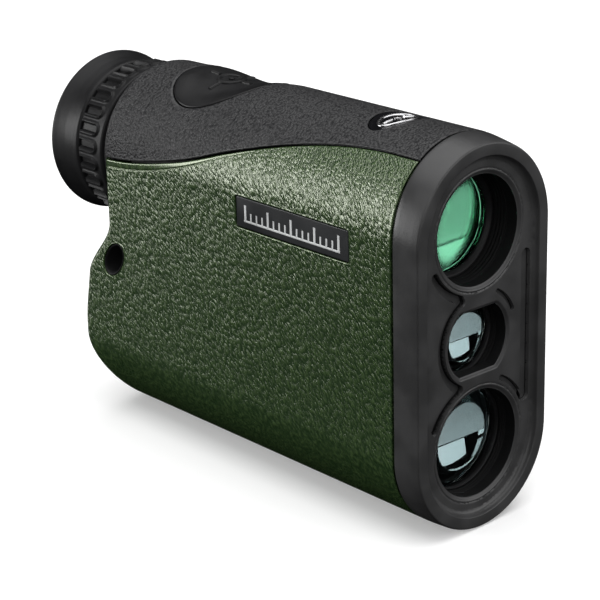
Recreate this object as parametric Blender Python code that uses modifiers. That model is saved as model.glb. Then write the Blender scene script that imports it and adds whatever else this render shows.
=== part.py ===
"""A compact laser rangefinder: a 5x monocular with a laser emitter and a receiver under it.

Units are metres, +Z is up and the front faces -Y, so the user's right-hand side is -X.
The origin is under the middle of the body, at the lowest point of its rounded underside.
Depths are measured from the front rim back towards the eyepiece.
"""

import math

import bmesh
import bpy
from mathutils import Matrix, Vector

MM = 0.001

# Driving dimensions of the whole instrument.
LENGTH = 104.3 * MM
WIDTH = 33.0 * MM
HEIGHT = 72.4 * MM

# Body form: a stadium cross-section, rounded at the back, with a bulge for the battery.
RADIUS = WIDTH / 2
FRONT = -LENGTH / 2
LOW_AXIS = RADIUS
HIGH_AXIS = HEIGHT - RADIUS
SEAM_DEPTH = 6.0 * MM
REAR_DEPTH = 87.0 * MM
BULGE_TOP = 42.0 * MM
BULGE_STEP = 7.4 * MM
BULGE_SWELL = 2.3 * MM
EDGE_RADIUS = 1.8 * MM
CORNER_RADIUS = 9.0 * MM
SKIN = 1.2 * MM
GAP = 0.3 * MM
SPLIT_GAP = 0.6 * MM

# Optical and mechanical axes, all along Y, as heights above the origin.
OBJECTIVE_AXIS = 55.7 * MM
EYEPIECE_AXIS = 54.5 * MM
EMITTER_AXIS = 35.5 * MM
RECEIVER_AXIS = 16.0 * MM
BATTERY_AXIS = 20.0 * MM

# Openings in the front bezel.
OBJECTIVE_OPENING = 9.95 * MM
EMITTER_OPENING = 7.35 * MM
EMITTER_FLAT = 5.9 * MM
RECEIVER_OPENING = 10.1 * MM
BEZEL_FLOOR = 1.3 * MM
BEZEL_BACK = 3.4 * MM

# Controls, plates and the lanyard passage.
BUTTON_DEPTH = 65.6 * MM
BUTTON_RADIUS = 10.5 * MM
MENU_DEPTH = 60.0 * MM
MENU_HEIGHT = 46.0 * MM
MENU_RADIUS = 3.4 * MM
PLATE_DEPTH = (16.7 * MM, 46.5 * MM)
PLATE_HEIGHT = (50.3 * MM, 56.0 * MM)
BADGE_DEPTH = 21.0 * MM
BADGE_SIZE = (6.3 * MM, 3.9 * MM)
LANYARD_DEPTH = 85.1 * MM
LANYARD_HEIGHT = 34.4 * MM
LANYARD_SIZE = (2.45 * MM, 4.1 * MM)
LANYARD_TILT = math.radians(40)

# Shells inside the armour.
CHASSIS_RADIUS = 14.5 * MM
CHASSIS_WALL = 1.4 * MM
CHASSIS_DEPTH = (6.8 * MM, 80.0 * MM)

# Eyepiece.
BARREL_RADIUS = 12.5 * MM
BARREL_NECK = 11.9 * MM
EYECUP_DEPTH = 96.6 * MM
RING_FLUTES = 28

# Battery and its cap.
BATTERY_RADIUS = 7.75 * MM
BATTERY_LENGTH = 27.0 * MM
CAP_RADIUS = 9.0 * MM
CAP_FACE = 97.4 * MM

# Rear cover and its two screws.
COVER_WALL = 2.0 * MM
COVER_SCREW = (11.7 * MM, 22.0 * MM)
COVER_SCREW_SEAT = 95.5

ROUND_STEPS = 20

# Colour, roughness and metallic value of each material.
MATERIALS = {
    "green_armour": ((0.045, 0.085, 0.040), 0.55, 0.0),
    "black_armour": ((0.028, 0.028, 0.029), 0.75, 0.0),
    "bezel_black": ((0.022, 0.022, 0.023), 0.50, 0.0),
    "control_black": ((0.018, 0.018, 0.019), 0.55, 0.0),
    "inner_black": ((0.010, 0.010, 0.010), 0.70, 0.0),
    "badge_silver": ((0.55, 0.55, 0.56), 0.30, 1.0),
    "coated_glass": ((0.10, 0.45, 0.25), 0.05, 0.0),
    "clear_glass": ((0.60, 0.72, 0.75), 0.05, 0.0),
    "aluminium": ((0.45, 0.45, 0.46), 0.40, 1.0),
    "steel": ((0.55, 0.55, 0.55), 0.30, 1.0),
    "brass": ((0.60, 0.42, 0.16), 0.35, 1.0),
    "board_green": ((0.020, 0.110, 0.045), 0.50, 0.0),
    "chip_black": ((0.015, 0.015, 0.016), 0.45, 0.0),
    "battery_wrap": ((0.045, 0.070, 0.120), 0.35, 0.0),
    "seal_rubber": ((0.012, 0.012, 0.012), 0.80, 0.0),
}


# ---------------------------------------------------------------- helpers


def clear_scene():
    for obj in list(bpy.data.objects):
        bpy.data.objects.remove(obj, do_unlink=True)


def collection(name):
    made = bpy.data.collections.new(name)
    bpy.context.scene.collection.children.link(made)
    return made


def make_materials():
    for name, (colour, roughness, metallic) in MATERIALS.items():
        made = bpy.data.materials.new(name)
        made.use_nodes = True
        shader = made.node_tree.nodes["Principled BSDF"]
        shader.inputs["Base Color"].default_value = (*colour, 1.0)
        shader.inputs["Roughness"].default_value = roughness
        shader.inputs["Metallic"].default_value = metallic
        made.diffuse_color = (*colour, 1.0)


def smoothstep(t):
    t = min(max(t, 0.0), 1.0)
    return t * t * (3 - 2 * t)


def between(a, b, t):
    return a + (b - a) * t


def place(name, data, material=None, location=(0, 0, 0), rotation=(0, 0, 0)):
    """A part: an object with its own material, in the instrument's collection."""
    obj = bpy.data.objects.new(name, data)
    obj.location = location
    obj.rotation_euler = rotation
    parts.objects.link(obj)
    if material:
        data.materials.append(bpy.data.materials[material])
    return obj


def as_cutter(obj):
    parts.objects.unlink(obj)
    cutters.objects.link(obj)
    obj.hide_render = True
    obj.display_type = "WIRE"
    return obj


def boolean(obj, other, operation="DIFFERENCE"):
    modifier = obj.modifiers.new(operation.lower(), "BOOLEAN")
    modifier.operation = operation
    modifier.solver = "EXACT"
    modifier.object = other
    return obj


def shade(obj, angle=35):
    obj.data.shade_smooth()
    obj.data.set_sharp_from_angle(angle=math.radians(angle))
    return obj


def mesh_of(name, bm):
    mesh = bpy.data.meshes.new(name)
    bm.to_mesh(mesh)
    bm.free()
    return mesh


def box(name, low, high, material=None, bevel=0.0):
    """A box between two corners, given as (x, depth, z), with its edges rounded."""
    bm = bmesh.new()
    bmesh.ops.create_cube(bm, size=1.0)
    size = Vector(high) - Vector(low)
    bmesh.ops.scale(bm, vec=size, verts=bm.verts)
    obj = place(name, mesh_of(name, bm), material, (Vector(low) + Vector(high)) / 2 + Vector((0, FRONT, 0)))
    if bevel:
        modifier = obj.modifiers.new("bevel", "BEVEL")
        modifier.width = bevel
        modifier.segments = 1
    return obj


def signed_area(points):
    pairs = zip(points, points[1:] + points[:1])
    return sum(a[0] * b[1] - b[0] * a[1] for a, b in pairs) / 2


def turned(name, profile, height, material=None, steps=ROUND_STEPS, x=0.0):
    """A part turned about an axis along Y at this height. The profile is (radius, depth)
    points of a closed loop, or of an open line that starts and ends on the axis."""
    if signed_area(profile) > 0:
        profile = profile[::-1]
    solid_centre = min(radius for radius, _ in profile) < 1e-9
    if solid_centre:
        start = next(i for i, p in enumerate(profile) if p[0] < 1e-9 and profile[i - 1][0] < 1e-9)
        profile = profile[start:] + profile[:start]
    bm = bmesh.new()
    verts = [bm.verts.new((radius, 0, depth)) for radius, depth in profile]
    for a, b in zip(verts, verts[1:]):
        bm.edges.new((a, b))
    if not solid_centre:
        bm.edges.new((verts[-1], verts[0]))
    obj = place(name, mesh_of(name, bm), material, (x, FRONT, height), (-math.pi / 2, 0, 0))
    screw = obj.modifiers.new("screw", "SCREW")
    screw.axis = "Z"
    screw.steps = steps
    screw.render_steps = steps
    screw.use_merge_vertices = True
    screw.merge_threshold = 0.01 * MM
    screw.use_smooth_shade = True
    return obj


def tube(name, outer, inner, depths, height, material=None, steps=ROUND_STEPS):
    start, end = depths
    profile = [(outer, start), (outer, end), (inner, end), (inner, start)]
    return turned(name, profile, height, material, steps)


def disc(name, radius, depths, height, material=None, steps=ROUND_STEPS, x=0.0):
    start, end = depths
    profile = [(0, start), (radius, start), (radius, end), (0, end)]
    return turned(name, profile, height, material, steps, x)


def lens(name, radius, depths, sags, height, material, segments=3):
    """A lens whose edge runs between two depths. A positive sag is convex, outwards."""
    (start, end), (front_sag, rear_sag) = depths, sags
    count = range(segments + 1)
    front = [(radius * i / segments, start - front_sag * (1 - (i / segments) ** 2)) for i in count]
    rear = [(radius * i / segments, end + rear_sag * (1 - (i / segments) ** 2)) for i in count]
    return turned(name, front + rear[::-1], height, material)


def flat_outline(name, loops, half_thickness, material, location, rotation):
    """A flat part: closed outlines in the curve's own XY plane, extruded both ways."""
    curve = bpy.data.curves.new(name, "CURVE")
    curve.dimensions = "2D"
    curve.fill_mode = "BOTH"
    curve.extrude = half_thickness
    for loop in loops:
        spline = curve.splines.new("POLY")
        spline.points.add(len(loop) - 1)
        spline.use_cyclic_u = True
        for point, (u, v) in zip(spline.points, loop):
            point.co = (u, v, 0, 1)
    return place(name, curve, material, location, rotation)


def to_mesh(obj):
    """The curve object as a welded mesh, so that a Boolean can cut it."""
    bpy.context.view_layer.update()
    name, matrix = obj.name, obj.matrix_world.copy()
    graph = bpy.context.evaluated_depsgraph_get()
    mesh = bpy.data.meshes.new_from_object(obj.evaluated_get(graph))
    bpy.data.objects.remove(obj)
    bm = bmesh.new()
    bm.from_mesh(mesh)
    bmesh.ops.remove_doubles(bm, verts=bm.verts, dist=0.001 * MM)
    bm.to_mesh(mesh)
    bm.free()
    made = bpy.data.objects.new(name, mesh)
    made.matrix_world = matrix
    parts.objects.link(made)
    return made


def across(name, loops, depths, material=None):
    """A flat part standing across the instrument. Its outlines are (x, z) loops."""
    middle = (depths[0] + depths[1]) / 2
    half = (depths[1] - depths[0]) / 2
    location = (0, FRONT + middle, 0)
    return flat_outline(name, loops, half, material, location, (math.pi / 2, 0, 0))


def sideways(name, loops, sides, material=None):
    """A flat part whose outlines are (depth, z) loops, extruded between two x positions."""
    matrix = Matrix(((0, 0, 1), (1, 0, 0), (0, 1, 0)))
    location = ((sides[0] + sides[1]) / 2, FRONT, 0)
    half = (sides[1] - sides[0]) / 2
    return flat_outline(name, loops, half, material, location, matrix.to_euler())


def oval(size, centre, count, tilt=0.0):
    """An oval loop with these half-axes."""
    points = []
    for i in range(count):
        angle = 2 * math.pi * i / count
        u, v = size[0] * math.cos(angle), size[1] * math.sin(angle)
        u, v = u * math.cos(tilt) - v * math.sin(tilt), u * math.sin(tilt) + v * math.cos(tilt)
        points.append((centre[0] + u, centre[1] + v))
    return points


def stadium(radius, low=LOW_AXIS, high=HIGH_AXIS, steps=16):
    """The cross-section's outline as an (x, z) loop, anticlockwise seen from the rear."""
    upper = [math.pi * i / steps for i in range(steps + 1)]
    top = [(radius * math.cos(a), high + radius * math.sin(a)) for a in upper]
    bottom = [(-radius * math.cos(a), low - radius * math.sin(a)) for a in upper]
    return top + bottom


# ---------------------------------------------------------------- body form

QUARTER = math.pi / 2 * RADIUS
HALF_PERIMETER = 2 * QUARTER + HIGH_AXIS - LOW_AXIS


def top_drop(depth):
    """How far the crown dips below the full height, round the button and to the rear."""
    dish = max(0.0, 1 - ((depth - 63 * MM) / (12 * MM)) ** 2) ** 2
    return 1.0 * MM * dish + 0.6 * MM * smoothstep((depth - 63 * MM) / (24 * MM))


def split(depth):
    """Where the top armour meets the lower armour, along the outline from the crown."""
    return 10.3 * MM + 16.3 * MM * smoothstep((depth - 12 * MM) / (76 * MM))


def rear_depth(z):
    """Depth of the rear face, which steps back over the battery and then swells a little."""
    step = BULGE_STEP * smoothstep((BULGE_TOP - z) / (12.4 * MM))
    return REAR_DEPTH + step + BULGE_SWELL * smoothstep((BULGE_TOP - 8 * MM - z) / (16 * MM))


def rear_radius(z):
    """Radius of the rear edge: small at the sides, and a wide corner underneath."""
    return between(CORNER_RADIUS, EDGE_RADIUS, smoothstep(z / LOW_AXIS))


def outline_point(along, depth=0.0):
    """(x, z, outward x, outward z) at this distance along the cross-section, measured from
    the crown down the right-hand side and on round the bottom and up the left."""
    along %= 2 * HALF_PERIMETER
    side = -1 if along <= HALF_PERIMETER else 1
    along = min(along, 2 * HALF_PERIMETER - along)
    if along < QUARTER:
        angle = along / RADIUS
        z = HIGH_AXIS + (RADIUS - top_drop(depth)) * math.cos(angle)
        return side * RADIUS * math.sin(angle), z, side * math.sin(angle), math.cos(angle)
    if along < HALF_PERIMETER - QUARTER:
        return side * RADIUS, HIGH_AXIS - (along - QUARTER), side, 0.0
    angle = (HALF_PERIMETER - along) / RADIUS
    x, z = side * RADIUS * math.sin(angle), LOW_AXIS - RADIUS * math.cos(angle)
    return x, z, side * math.sin(angle), -math.cos(angle)


def skin_point(along, travel):
    """A point on the outside. Travel 0 to 1 runs from the bezel seam to where the rear edge
    starts to turn in, and 1 to 2 goes round that edge to the rear face."""
    depth = between(SEAM_DEPTH + GAP, REAR_DEPTH - EDGE_RADIUS, min(travel, 1.0))
    x, z, out_x, out_z = outline_point(along, depth)
    radius = rear_radius(z)
    if travel <= 1:
        depth = between(SEAM_DEPTH + GAP, rear_depth(z) - radius, travel)
        return Vector((x, FRONT + depth, z))
    turn = (travel - 1) * math.pi / 2
    inward = radius * (1 - math.cos(turn))
    x, z = x - out_x * inward, z - out_z * inward
    return Vector((x, FRONT + rear_depth(z) - radius * (1 - math.sin(turn)), z))


def shell(name, spans, travels, columns, material, thickness=SKIN):
    """A skin between two lines along the body, thickened inwards. Spans gives the two ends
    along the outline at a travel."""
    bm = bmesh.new()
    rows = []
    for travel in travels:
        start, end = spans(travel)
        along = [between(start, end, i / columns) for i in range(columns + 1)]
        rows.append([bm.verts.new(skin_point(a, travel)) for a in along])
    for near, far in zip(rows, rows[1:]):
        for i in range(columns):
            bm.faces.new((near[i], far[i], far[i + 1], near[i + 1]))
    obj = place(name, mesh_of(name, bm), material)
    solid = obj.modifiers.new("thickness", "SOLIDIFY")
    solid.thickness = thickness
    solid.offset = -1
    solid.use_even_offset = True
    return shade(obj)


def split_at(travel):
    return split(between(SEAM_DEPTH + GAP, REAR_DEPTH - EDGE_RADIUS, min(travel, 1.0)))


# ---------------------------------------------------------------- outer shells


def lanyard_hole(grow, sides, name):
    size = (LANYARD_SIZE[0] + grow, LANYARD_SIZE[1] + grow)
    loop = oval(size, (LANYARD_DEPTH, LANYARD_HEIGHT), 16, LANYARD_TILT)
    return as_cutter(to_mesh(sideways(name, [loop], sides)))


def crown_patch(name, size, depth, sink, thickness, material):
    """An oval piece of the crown's own surface, sunk a little, for the button and badge."""
    half_span = size[0] * 1.25
    start, end = depth - size[1] - 2 * MM, depth + size[1] + 2 * MM
    centre = Vector((0, FRONT + depth, HEIGHT))
    count = 10
    bm = bmesh.new()
    grid = []
    for j in range(count + 1):
        row_depth = between(start, end, j / count)
        line = []
        for i in range(count + 1):
            along = between(-half_span, half_span, i / count)
            x, z, out_x, out_z = outline_point(along, row_depth)
            point = Vector((x - out_x * sink, FRONT + row_depth, z - out_z * sink))
            line.append(bm.verts.new(point - centre))
        grid.append(line)
    for near, far in zip(grid, grid[1:]):
        for i in range(count):
            bm.faces.new((near[i], far[i], far[i + 1], near[i + 1]))
    obj = place(name, mesh_of(name, bm), material, centre)
    solid = obj.modifiers.new("thickness", "SOLIDIFY")
    solid.thickness = thickness
    solid.offset = -1
    boolean(obj, as_cutter(oval_post(name + "_outline", size, depth)), "INTERSECT")
    return shade(obj)


def oval_post(name, size, depth, count=40):
    """An upright oval post through the crown, for cutting."""
    low, high = 60 * MM, HEIGHT + 5 * MM
    loop = oval(size, (0, 0), count)
    location = (0, FRONT + depth, (low + high) / 2)
    return to_mesh(flat_outline(name, [loop], (high - low) / 2, None, location, (0, 0, 0)))


def grown(size, margin):
    return size[0] + margin, size[1] + margin


def make_top_armour():
    travels = [i / 12 for i in range(13)] + [1.33, 1.66, 2.0]
    spans = lambda travel: (-split_at(travel) + SPLIT_GAP / 2, split_at(travel) - SPLIT_GAP / 2)
    armour = shell("top_armour", spans, travels, 14, "black_armour")
    button = grown((BUTTON_RADIUS, BUTTON_RADIUS), GAP)
    boolean(armour, as_cutter(oval_post("button_opening", button, BUTTON_DEPTH)))
    boolean(armour, as_cutter(oval_post("badge_opening", grown(BADGE_SIZE, GAP), BADGE_DEPTH)))


def make_lower_armour():
    travels = [i / 9 for i in range(10)] + [1.25, 1.5, 1.75, 2.0]
    full = 2 * HALF_PERIMETER
    spans = lambda travel: (split_at(travel) + SPLIT_GAP / 2, full - split_at(travel) - SPLIT_GAP / 2)
    armour = shell("lower_armour", spans, travels, 44, "green_armour")
    beyond = RADIUS + 5 * MM
    boolean(armour, lanyard_hole(GAP, (-beyond, beyond), "lanyard_opening"))
    low = (-beyond, PLATE_DEPTH[0] - GAP, PLATE_HEIGHT[0] - GAP)
    high = (beyond, PLATE_DEPTH[1] + GAP, PLATE_HEIGHT[1] + GAP)
    boolean(armour, as_cutter(box("nameplate_opening", low, high)))
    boolean(armour, menu_hole(MENU_RADIUS + GAP, "menu_opening", 14 * MM))


def menu_hole(radius, name, start):
    loop = oval((radius, radius), (MENU_DEPTH, MENU_HEIGHT), 16)
    return as_cutter(to_mesh(sideways(name, [loop], (start, RADIUS + 5 * MM))))


def make_rear_cover():
    """The rear face inside the armour's edge, with holes for the eyepiece and battery."""
    inside = []
    columns = 48
    for i in range(columns):
        along = 2 * HALF_PERIMETER * i / columns
        point = skin_point(along, 2.0)
        _, _, out_x, out_z = outline_point(along)
        inside.append((point.x - out_x * 2 * GAP, point.z - out_z * 2 * GAP))
    steps = 12
    heights = [between(16 * MM, BULGE_TOP, i / steps) for i in range(steps + 1)]
    heights = [0.0] + heights + [HEIGHT]
    outer = [(rear_depth(z), z) for z in heights]
    inner = [(rear_depth(z) - COVER_WALL, z - COVER_WALL / 4) for z in heights]
    cover = to_mesh(sideways("rear_cover", [outer + inner[::-1]], (-RADIUS, RADIUS)))
    cover.data.materials.append(bpy.data.materials["control_black"])
    rim = across("rear_cover_outline", [inside], (REAR_DEPTH - 5 * MM, REAR_DEPTH + 15 * MM))
    boolean(cover, as_cutter(to_mesh(rim)), "INTERSECT")
    for name, radius, height in (
        ("eyepiece_opening", BARREL_RADIUS + GAP, EYEPIECE_AXIS),
        ("battery_opening", CAP_RADIUS + 0.8 * MM, BATTERY_AXIS),
    ):
        boolean(cover, as_cutter(disc(name, radius, (70 * MM, 110 * MM), height, steps=32)))
    boolean(cover, lanyard_hole(GAP, (-RADIUS, RADIUS), "lanyard_notch"))
    under_ring = (REAR_DEPTH + 0.05 * MM, 110 * MM)
    boolean(cover, as_cutter(disc("ring_clearance", 16.6 * MM, under_ring, EYEPIECE_AXIS, steps=32)))
    for side in (-1, 1):
        hole = [(0, 80), (0.9, 80), (0.9, COVER_SCREW_SEAT), (1.6, COVER_SCREW_SEAT), (1.6, 110), (0, 110)]
        hole = [(radius * MM, depth * MM) for radius, depth in hole]
        cutter = turned("cover_screw_hole", hole, COVER_SCREW[1], None, 12, side * COVER_SCREW[0])
        boolean(cover, as_cutter(cutter))
    shade(cover)


def make_chassis():
    outer = stadium(CHASSIS_RADIUS, steps=12)
    inner = stadium(CHASSIS_RADIUS - CHASSIS_WALL, steps=12)
    chassis = to_mesh(across("chassis_tube", [outer, inner], CHASSIS_DEPTH, "inner_black"))
    button = grown((BUTTON_RADIUS, BUTTON_RADIUS), 0.6 * MM)
    boolean(chassis, as_cutter(oval_post("chassis_button_opening", button, BUTTON_DEPTH, 32)))
    boolean(chassis, menu_hole(MENU_RADIUS + GAP, "chassis_menu_opening", 10 * MM))


def make_bulkheads():
    """Two plates across the chassis that hold the optical tubes."""
    edge = stadium(CHASSIS_RADIUS - CHASSIS_WALL - GAP, steps=12)
    front_holes = (
        (OBJECTIVE_AXIS, OBJECTIVE_CELL + GAP),
        (EMITTER_AXIS, EMITTER_TUBE + GAP),
        (RECEIVER_AXIS, RECEIVER_TUBE + GAP),
    )
    loops = [oval((radius, radius), (0, height), 24) for height, radius in front_holes]
    across("front_bulkhead", [edge] + loops, (12 * MM, 13.6 * MM), "inner_black")
    rear_holes = ((EYEPIECE_AXIS, BARREL_NECK + GAP), (BATTERY_AXIS, BATTERY_TUBE + GAP))
    loops = [oval((radius, radius), (0, height), 24) for height, radius in rear_holes]
    across("rear_bulkhead", [edge] + loops, (77 * MM, 78.6 * MM), "inner_black")


# ---------------------------------------------------------------- front bezel


def bezel_ring(bm, radius, depth):
    """One stadium outline of the bezel, whose crown leans down towards the front."""
    high = HIGH_AXIS - 0.7 * MM * (1 - depth / SEAM_DEPTH)
    loop = stadium(radius, high=high, steps=16)
    return [bm.verts.new((x, FRONT + depth, z)) for x, z in loop]


def make_front_bezel():
    rings = (
        (14.4 * MM, BEZEL_BACK),
        (14.4 * MM, SEAM_DEPTH),
        (RADIUS, SEAM_DEPTH),
        (16.4 * MM, 3.6 * MM),
        (16.2 * MM, 1.6 * MM),
        (15.9 * MM, 0.5 * MM),
        (15.5 * MM, 0.0),
        (14.1 * MM, 0.0),
        (13.8 * MM, 0.8 * MM),
        (13.2 * MM, BEZEL_FLOOR),
    )
    bm = bmesh.new()
    loops = [bezel_ring(bm, radius, depth) for radius, depth in rings]
    for near, far in zip(loops, loops[1:]):
        for i in range(len(near)):
            j = (i + 1) % len(near)
            bm.faces.new((near[i], near[j], far[j], far[i]))
    bm.faces.new(loops[0])
    bm.faces.new(loops[-1])
    bmesh.ops.recalc_face_normals(bm, faces=bm.faces)
    bezel = place("front_bezel", mesh_of("front_bezel", bm), "bezel_black")
    through = (-5 * MM, 12 * MM)
    for name, radius, height in (
        ("objective_opening", OBJECTIVE_OPENING, OBJECTIVE_AXIS),
        ("receiver_opening", RECEIVER_OPENING, RECEIVER_AXIS),
    ):
        boolean(bezel, as_cutter(disc(name, radius, through, height, steps=32)))
    reach = math.asin(EMITTER_FLAT / EMITTER_OPENING)
    steps = 8
    turns = [between(-reach, reach, i / steps) for i in range(steps + 1)]
    right = [(math.cos(a) * EMITTER_OPENING, math.sin(a) * EMITTER_OPENING) for a in turns]
    loop = right + [(-x, -z) for x, z in right]
    loop = [(x, z + EMITTER_AXIS) for x, z in loop]
    boolean(bezel, as_cutter(to_mesh(across("emitter_opening", [loop], through))))
    shade(bezel)


# ---------------------------------------------------------------- viewing optics

OBJECTIVE_CELL = 11.2 * MM
EMITTER_TUBE = 7.6 * MM
RECEIVER_TUBE = 10.9 * MM


def make_objective():
    cell = [
        (OBJECTIVE_CELL, 4.0 * MM),
        (OBJECTIVE_CELL, 28 * MM),
        (9.0 * MM, 28 * MM),
        (9.0 * MM, 15.5 * MM),
        (10.2 * MM, 15.5 * MM),
        (10.2 * MM, 4.0 * MM),
    ]
    turned("objective_cell", cell, OBJECTIVE_AXIS, "inner_black", 32)
    tube("objective_retaining_ring", 9.9 * MM, 8.9 * MM, (6.8 * MM, 7.7 * MM), OBJECTIVE_AXIS, "inner_black")
    axis = OBJECTIVE_AXIS
    lens("objective_front_lens", 9.8 * MM, (9.2 * MM, 11.0 * MM), (1.3 * MM, 0.9 * MM), axis, "coated_glass")
    lens("objective_rear_lens", 9.8 * MM, (12.3 * MM, 15.1 * MM), (-0.9 * MM, -0.4 * MM), axis, "clear_glass")


def make_prisms():
    """A two-part erecting prism. The second part is on the far side of a slanting air gap."""
    low, high = 46.5 * MM, 63.1 * MM
    half_penta = [(34, low), (43.0, low), (51.2, high - 5 * MM), (46.0, high), (34, high - 2 * MM)]
    schmidt = [(43.6, low), (55.0, low), (55.0, high - 6 * MM), (51.8, high - 5.2 * MM)]
    for name, outline in (("half_penta_prism", half_penta), ("schmidt_prism", schmidt)):
        loop = [(depth * MM, z) for depth, z in outline]
        sideways(name, [loop], (-8 * MM, 8 * MM), "clear_glass")
    outer = [(31 * MM, 44.4 * MM), (57 * MM, 44.4 * MM), (57 * MM, 65 * MM), (31 * MM, 65 * MM)]
    inset = 1.4 * MM
    inner = [
        (outer[0][0] + inset, outer[0][1] + inset),
        (outer[1][0] - inset, outer[1][1] + inset),
        (outer[2][0] - inset, outer[2][1] - inset),
        (outer[3][0] + inset, outer[3][1] - inset),
    ]
    carrier = to_mesh(sideways("prism_carrier", [outer, inner], (-8.6 * MM, 8.6 * MM), "inner_black"))
    light = as_cutter(disc("prism_aperture", 7.5 * MM, (28 * MM, 60 * MM), 55 * MM))
    boolean(carrier, light)


def make_display():
    """The see-through display at the focal plane, in its frame."""
    axis = EYEPIECE_AXIS
    tube("display_frame", 10.4 * MM, 7.2 * MM, (59.0 * MM, 61.6 * MM), axis, "inner_black")
    disc("display_panel", 6.8 * MM, (59.6 * MM, 61.0 * MM), axis, "clear_glass")


def make_eyepiece():
    axis = EYEPIECE_AXIS
    inner = 11.3 * MM
    neck = BARREL_NECK
    barrel = [(neck, 71 * MM), (neck, 84 * MM), (BARREL_RADIUS, 84 * MM), (BARREL_RADIUS, 101.6 * MM)]
    barrel += [(inner, 101.6 * MM), (inner, 71 * MM)]
    turned("eyepiece_barrel", barrel, axis, "inner_black", 32)
    tube("eyepiece_collar", 15.0 * MM, 12.8 * MM, (87.3 * MM, 88.2 * MM), axis, "control_black", 32)
    cell = [
        (11.0 * MM, 76 * MM),
        (11.0 * MM, 99.2 * MM),
        (10.2 * MM, 99.2 * MM),
        (10.2 * MM, 78 * MM),
        (8.4 * MM, 78 * MM),
        (8.4 * MM, 76 * MM),
    ]
    turned("eyepiece_lens_cell", cell, axis, "inner_black", 32)
    lens("field_lens", 9.8 * MM, (79.4 * MM, 82.0 * MM), (0.6 * MM, 1.0 * MM), axis, "clear_glass")
    tube("eyepiece_spacer", 9.8 * MM, 8.8 * MM, (83.4 * MM, 91.4 * MM), axis, "inner_black")
    lens("eye_lens", 9.8 * MM, (93.0 * MM, 95.6 * MM), (0.9 * MM, 1.2 * MM), axis, "clear_glass")
    tube("eyepiece_retaining_ring", 9.9 * MM, 9.0 * MM, (96.9 * MM, 98.6 * MM), axis, "inner_black")


def make_diopter_ring():
    """The focusing ring, with shallow flutes round its rim."""
    points_per_flute = 4
    count = RING_FLUTES * points_per_flute
    outer = []
    for i in range(count):
        radius = (16.1 if i % points_per_flute < 2 else 15.4) * MM
        angle = 2 * math.pi * i / count
        outer.append((radius * math.cos(angle), EYEPIECE_AXIS + radius * math.sin(angle)))
    inner = oval((14.9 * MM, 14.9 * MM), (0, EYEPIECE_AXIS), 32)
    across("diopter_ring", [outer, inner], (88.5 * MM, 96.2 * MM), "control_black")
    set_origin(bpy.data.objects["diopter_ring"], EYEPIECE_AXIS)


def set_origin(curve_object, height):
    """Moves a curve's origin up to a turning axis without moving the part."""
    for spline in curve_object.data.splines:
        for point in spline.points:
            point.co.y -= height
    curve_object.location.z += height


def make_eyecup():
    """A twist-up cup. Its sleeve runs forward inside the focusing ring, over the barrel."""
    rear = LENGTH
    profile = [
        (13.0 * MM, 90.4 * MM),
        (14.5 * MM, 90.4 * MM),
        (14.5 * MM, EYECUP_DEPTH),
        (15.5 * MM, EYECUP_DEPTH),
        (15.4 * MM, 98.8 * MM),
        (16.0 * MM, rear - 1.5 * MM),
        (16.4 * MM, rear - 0.4 * MM),
        (16.1 * MM, rear),
        (15.0 * MM, rear),
        (13.6 * MM, 102.2 * MM),
        (13.0 * MM, 101.0 * MM),
        (13.0 * MM, 94.2 * MM),
        (14.0 * MM, 94.2 * MM),
        (14.0 * MM, 92.0 * MM),
        (13.0 * MM, 92.0 * MM),
    ]
    turned("eyecup", profile, EYEPIECE_AXIS, "control_black", 36)
    tube("eyecup_friction_ring", 13.7 * MM, 12.8 * MM, (92.3 * MM, 93.9 * MM), EYEPIECE_AXIS, "seal_rubber")


# ---------------------------------------------------------------- laser channels


def make_emitter():
    axis = EMITTER_AXIS
    profile = [
        (EMITTER_TUBE, 4.0 * MM),
        (EMITTER_TUBE, 14 * MM),
        (5.2 * MM, 34 * MM),
        (5.2 * MM, 40 * MM),
        (3.4 * MM, 40 * MM),
        (3.4 * MM, 34 * MM),
        (6.4 * MM, 9.6 * MM),
        (7.1 * MM, 9.6 * MM),
        (7.1 * MM, 4.0 * MM),
    ]
    turned("emitter_tube", profile, axis, "inner_black")
    lens("emitter_lens", 6.8 * MM, (6.6 * MM, 8.0 * MM), (1.0 * MM, 1.0 * MM), axis, "clear_glass")
    tube("emitter_retaining_ring", 6.8 * MM, 6.1 * MM, (4.6 * MM, 5.3 * MM), axis, "inner_black")
    diode = [(0, 36 * MM), (2.2 * MM, 36 * MM), (2.2 * MM, 38.4 * MM), (2.8 * MM, 38.4 * MM)]
    diode += [(2.8 * MM, 39.6 * MM), (0, 39.6 * MM)]
    turned("laser_diode", diode, axis, "brass", 16)
    low, high = (-8 * MM, 40.4 * MM, 29 * MM), (8 * MM, 41.8 * MM, 42 * MM)
    box("laser_board", low, high, "board_green")


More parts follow.
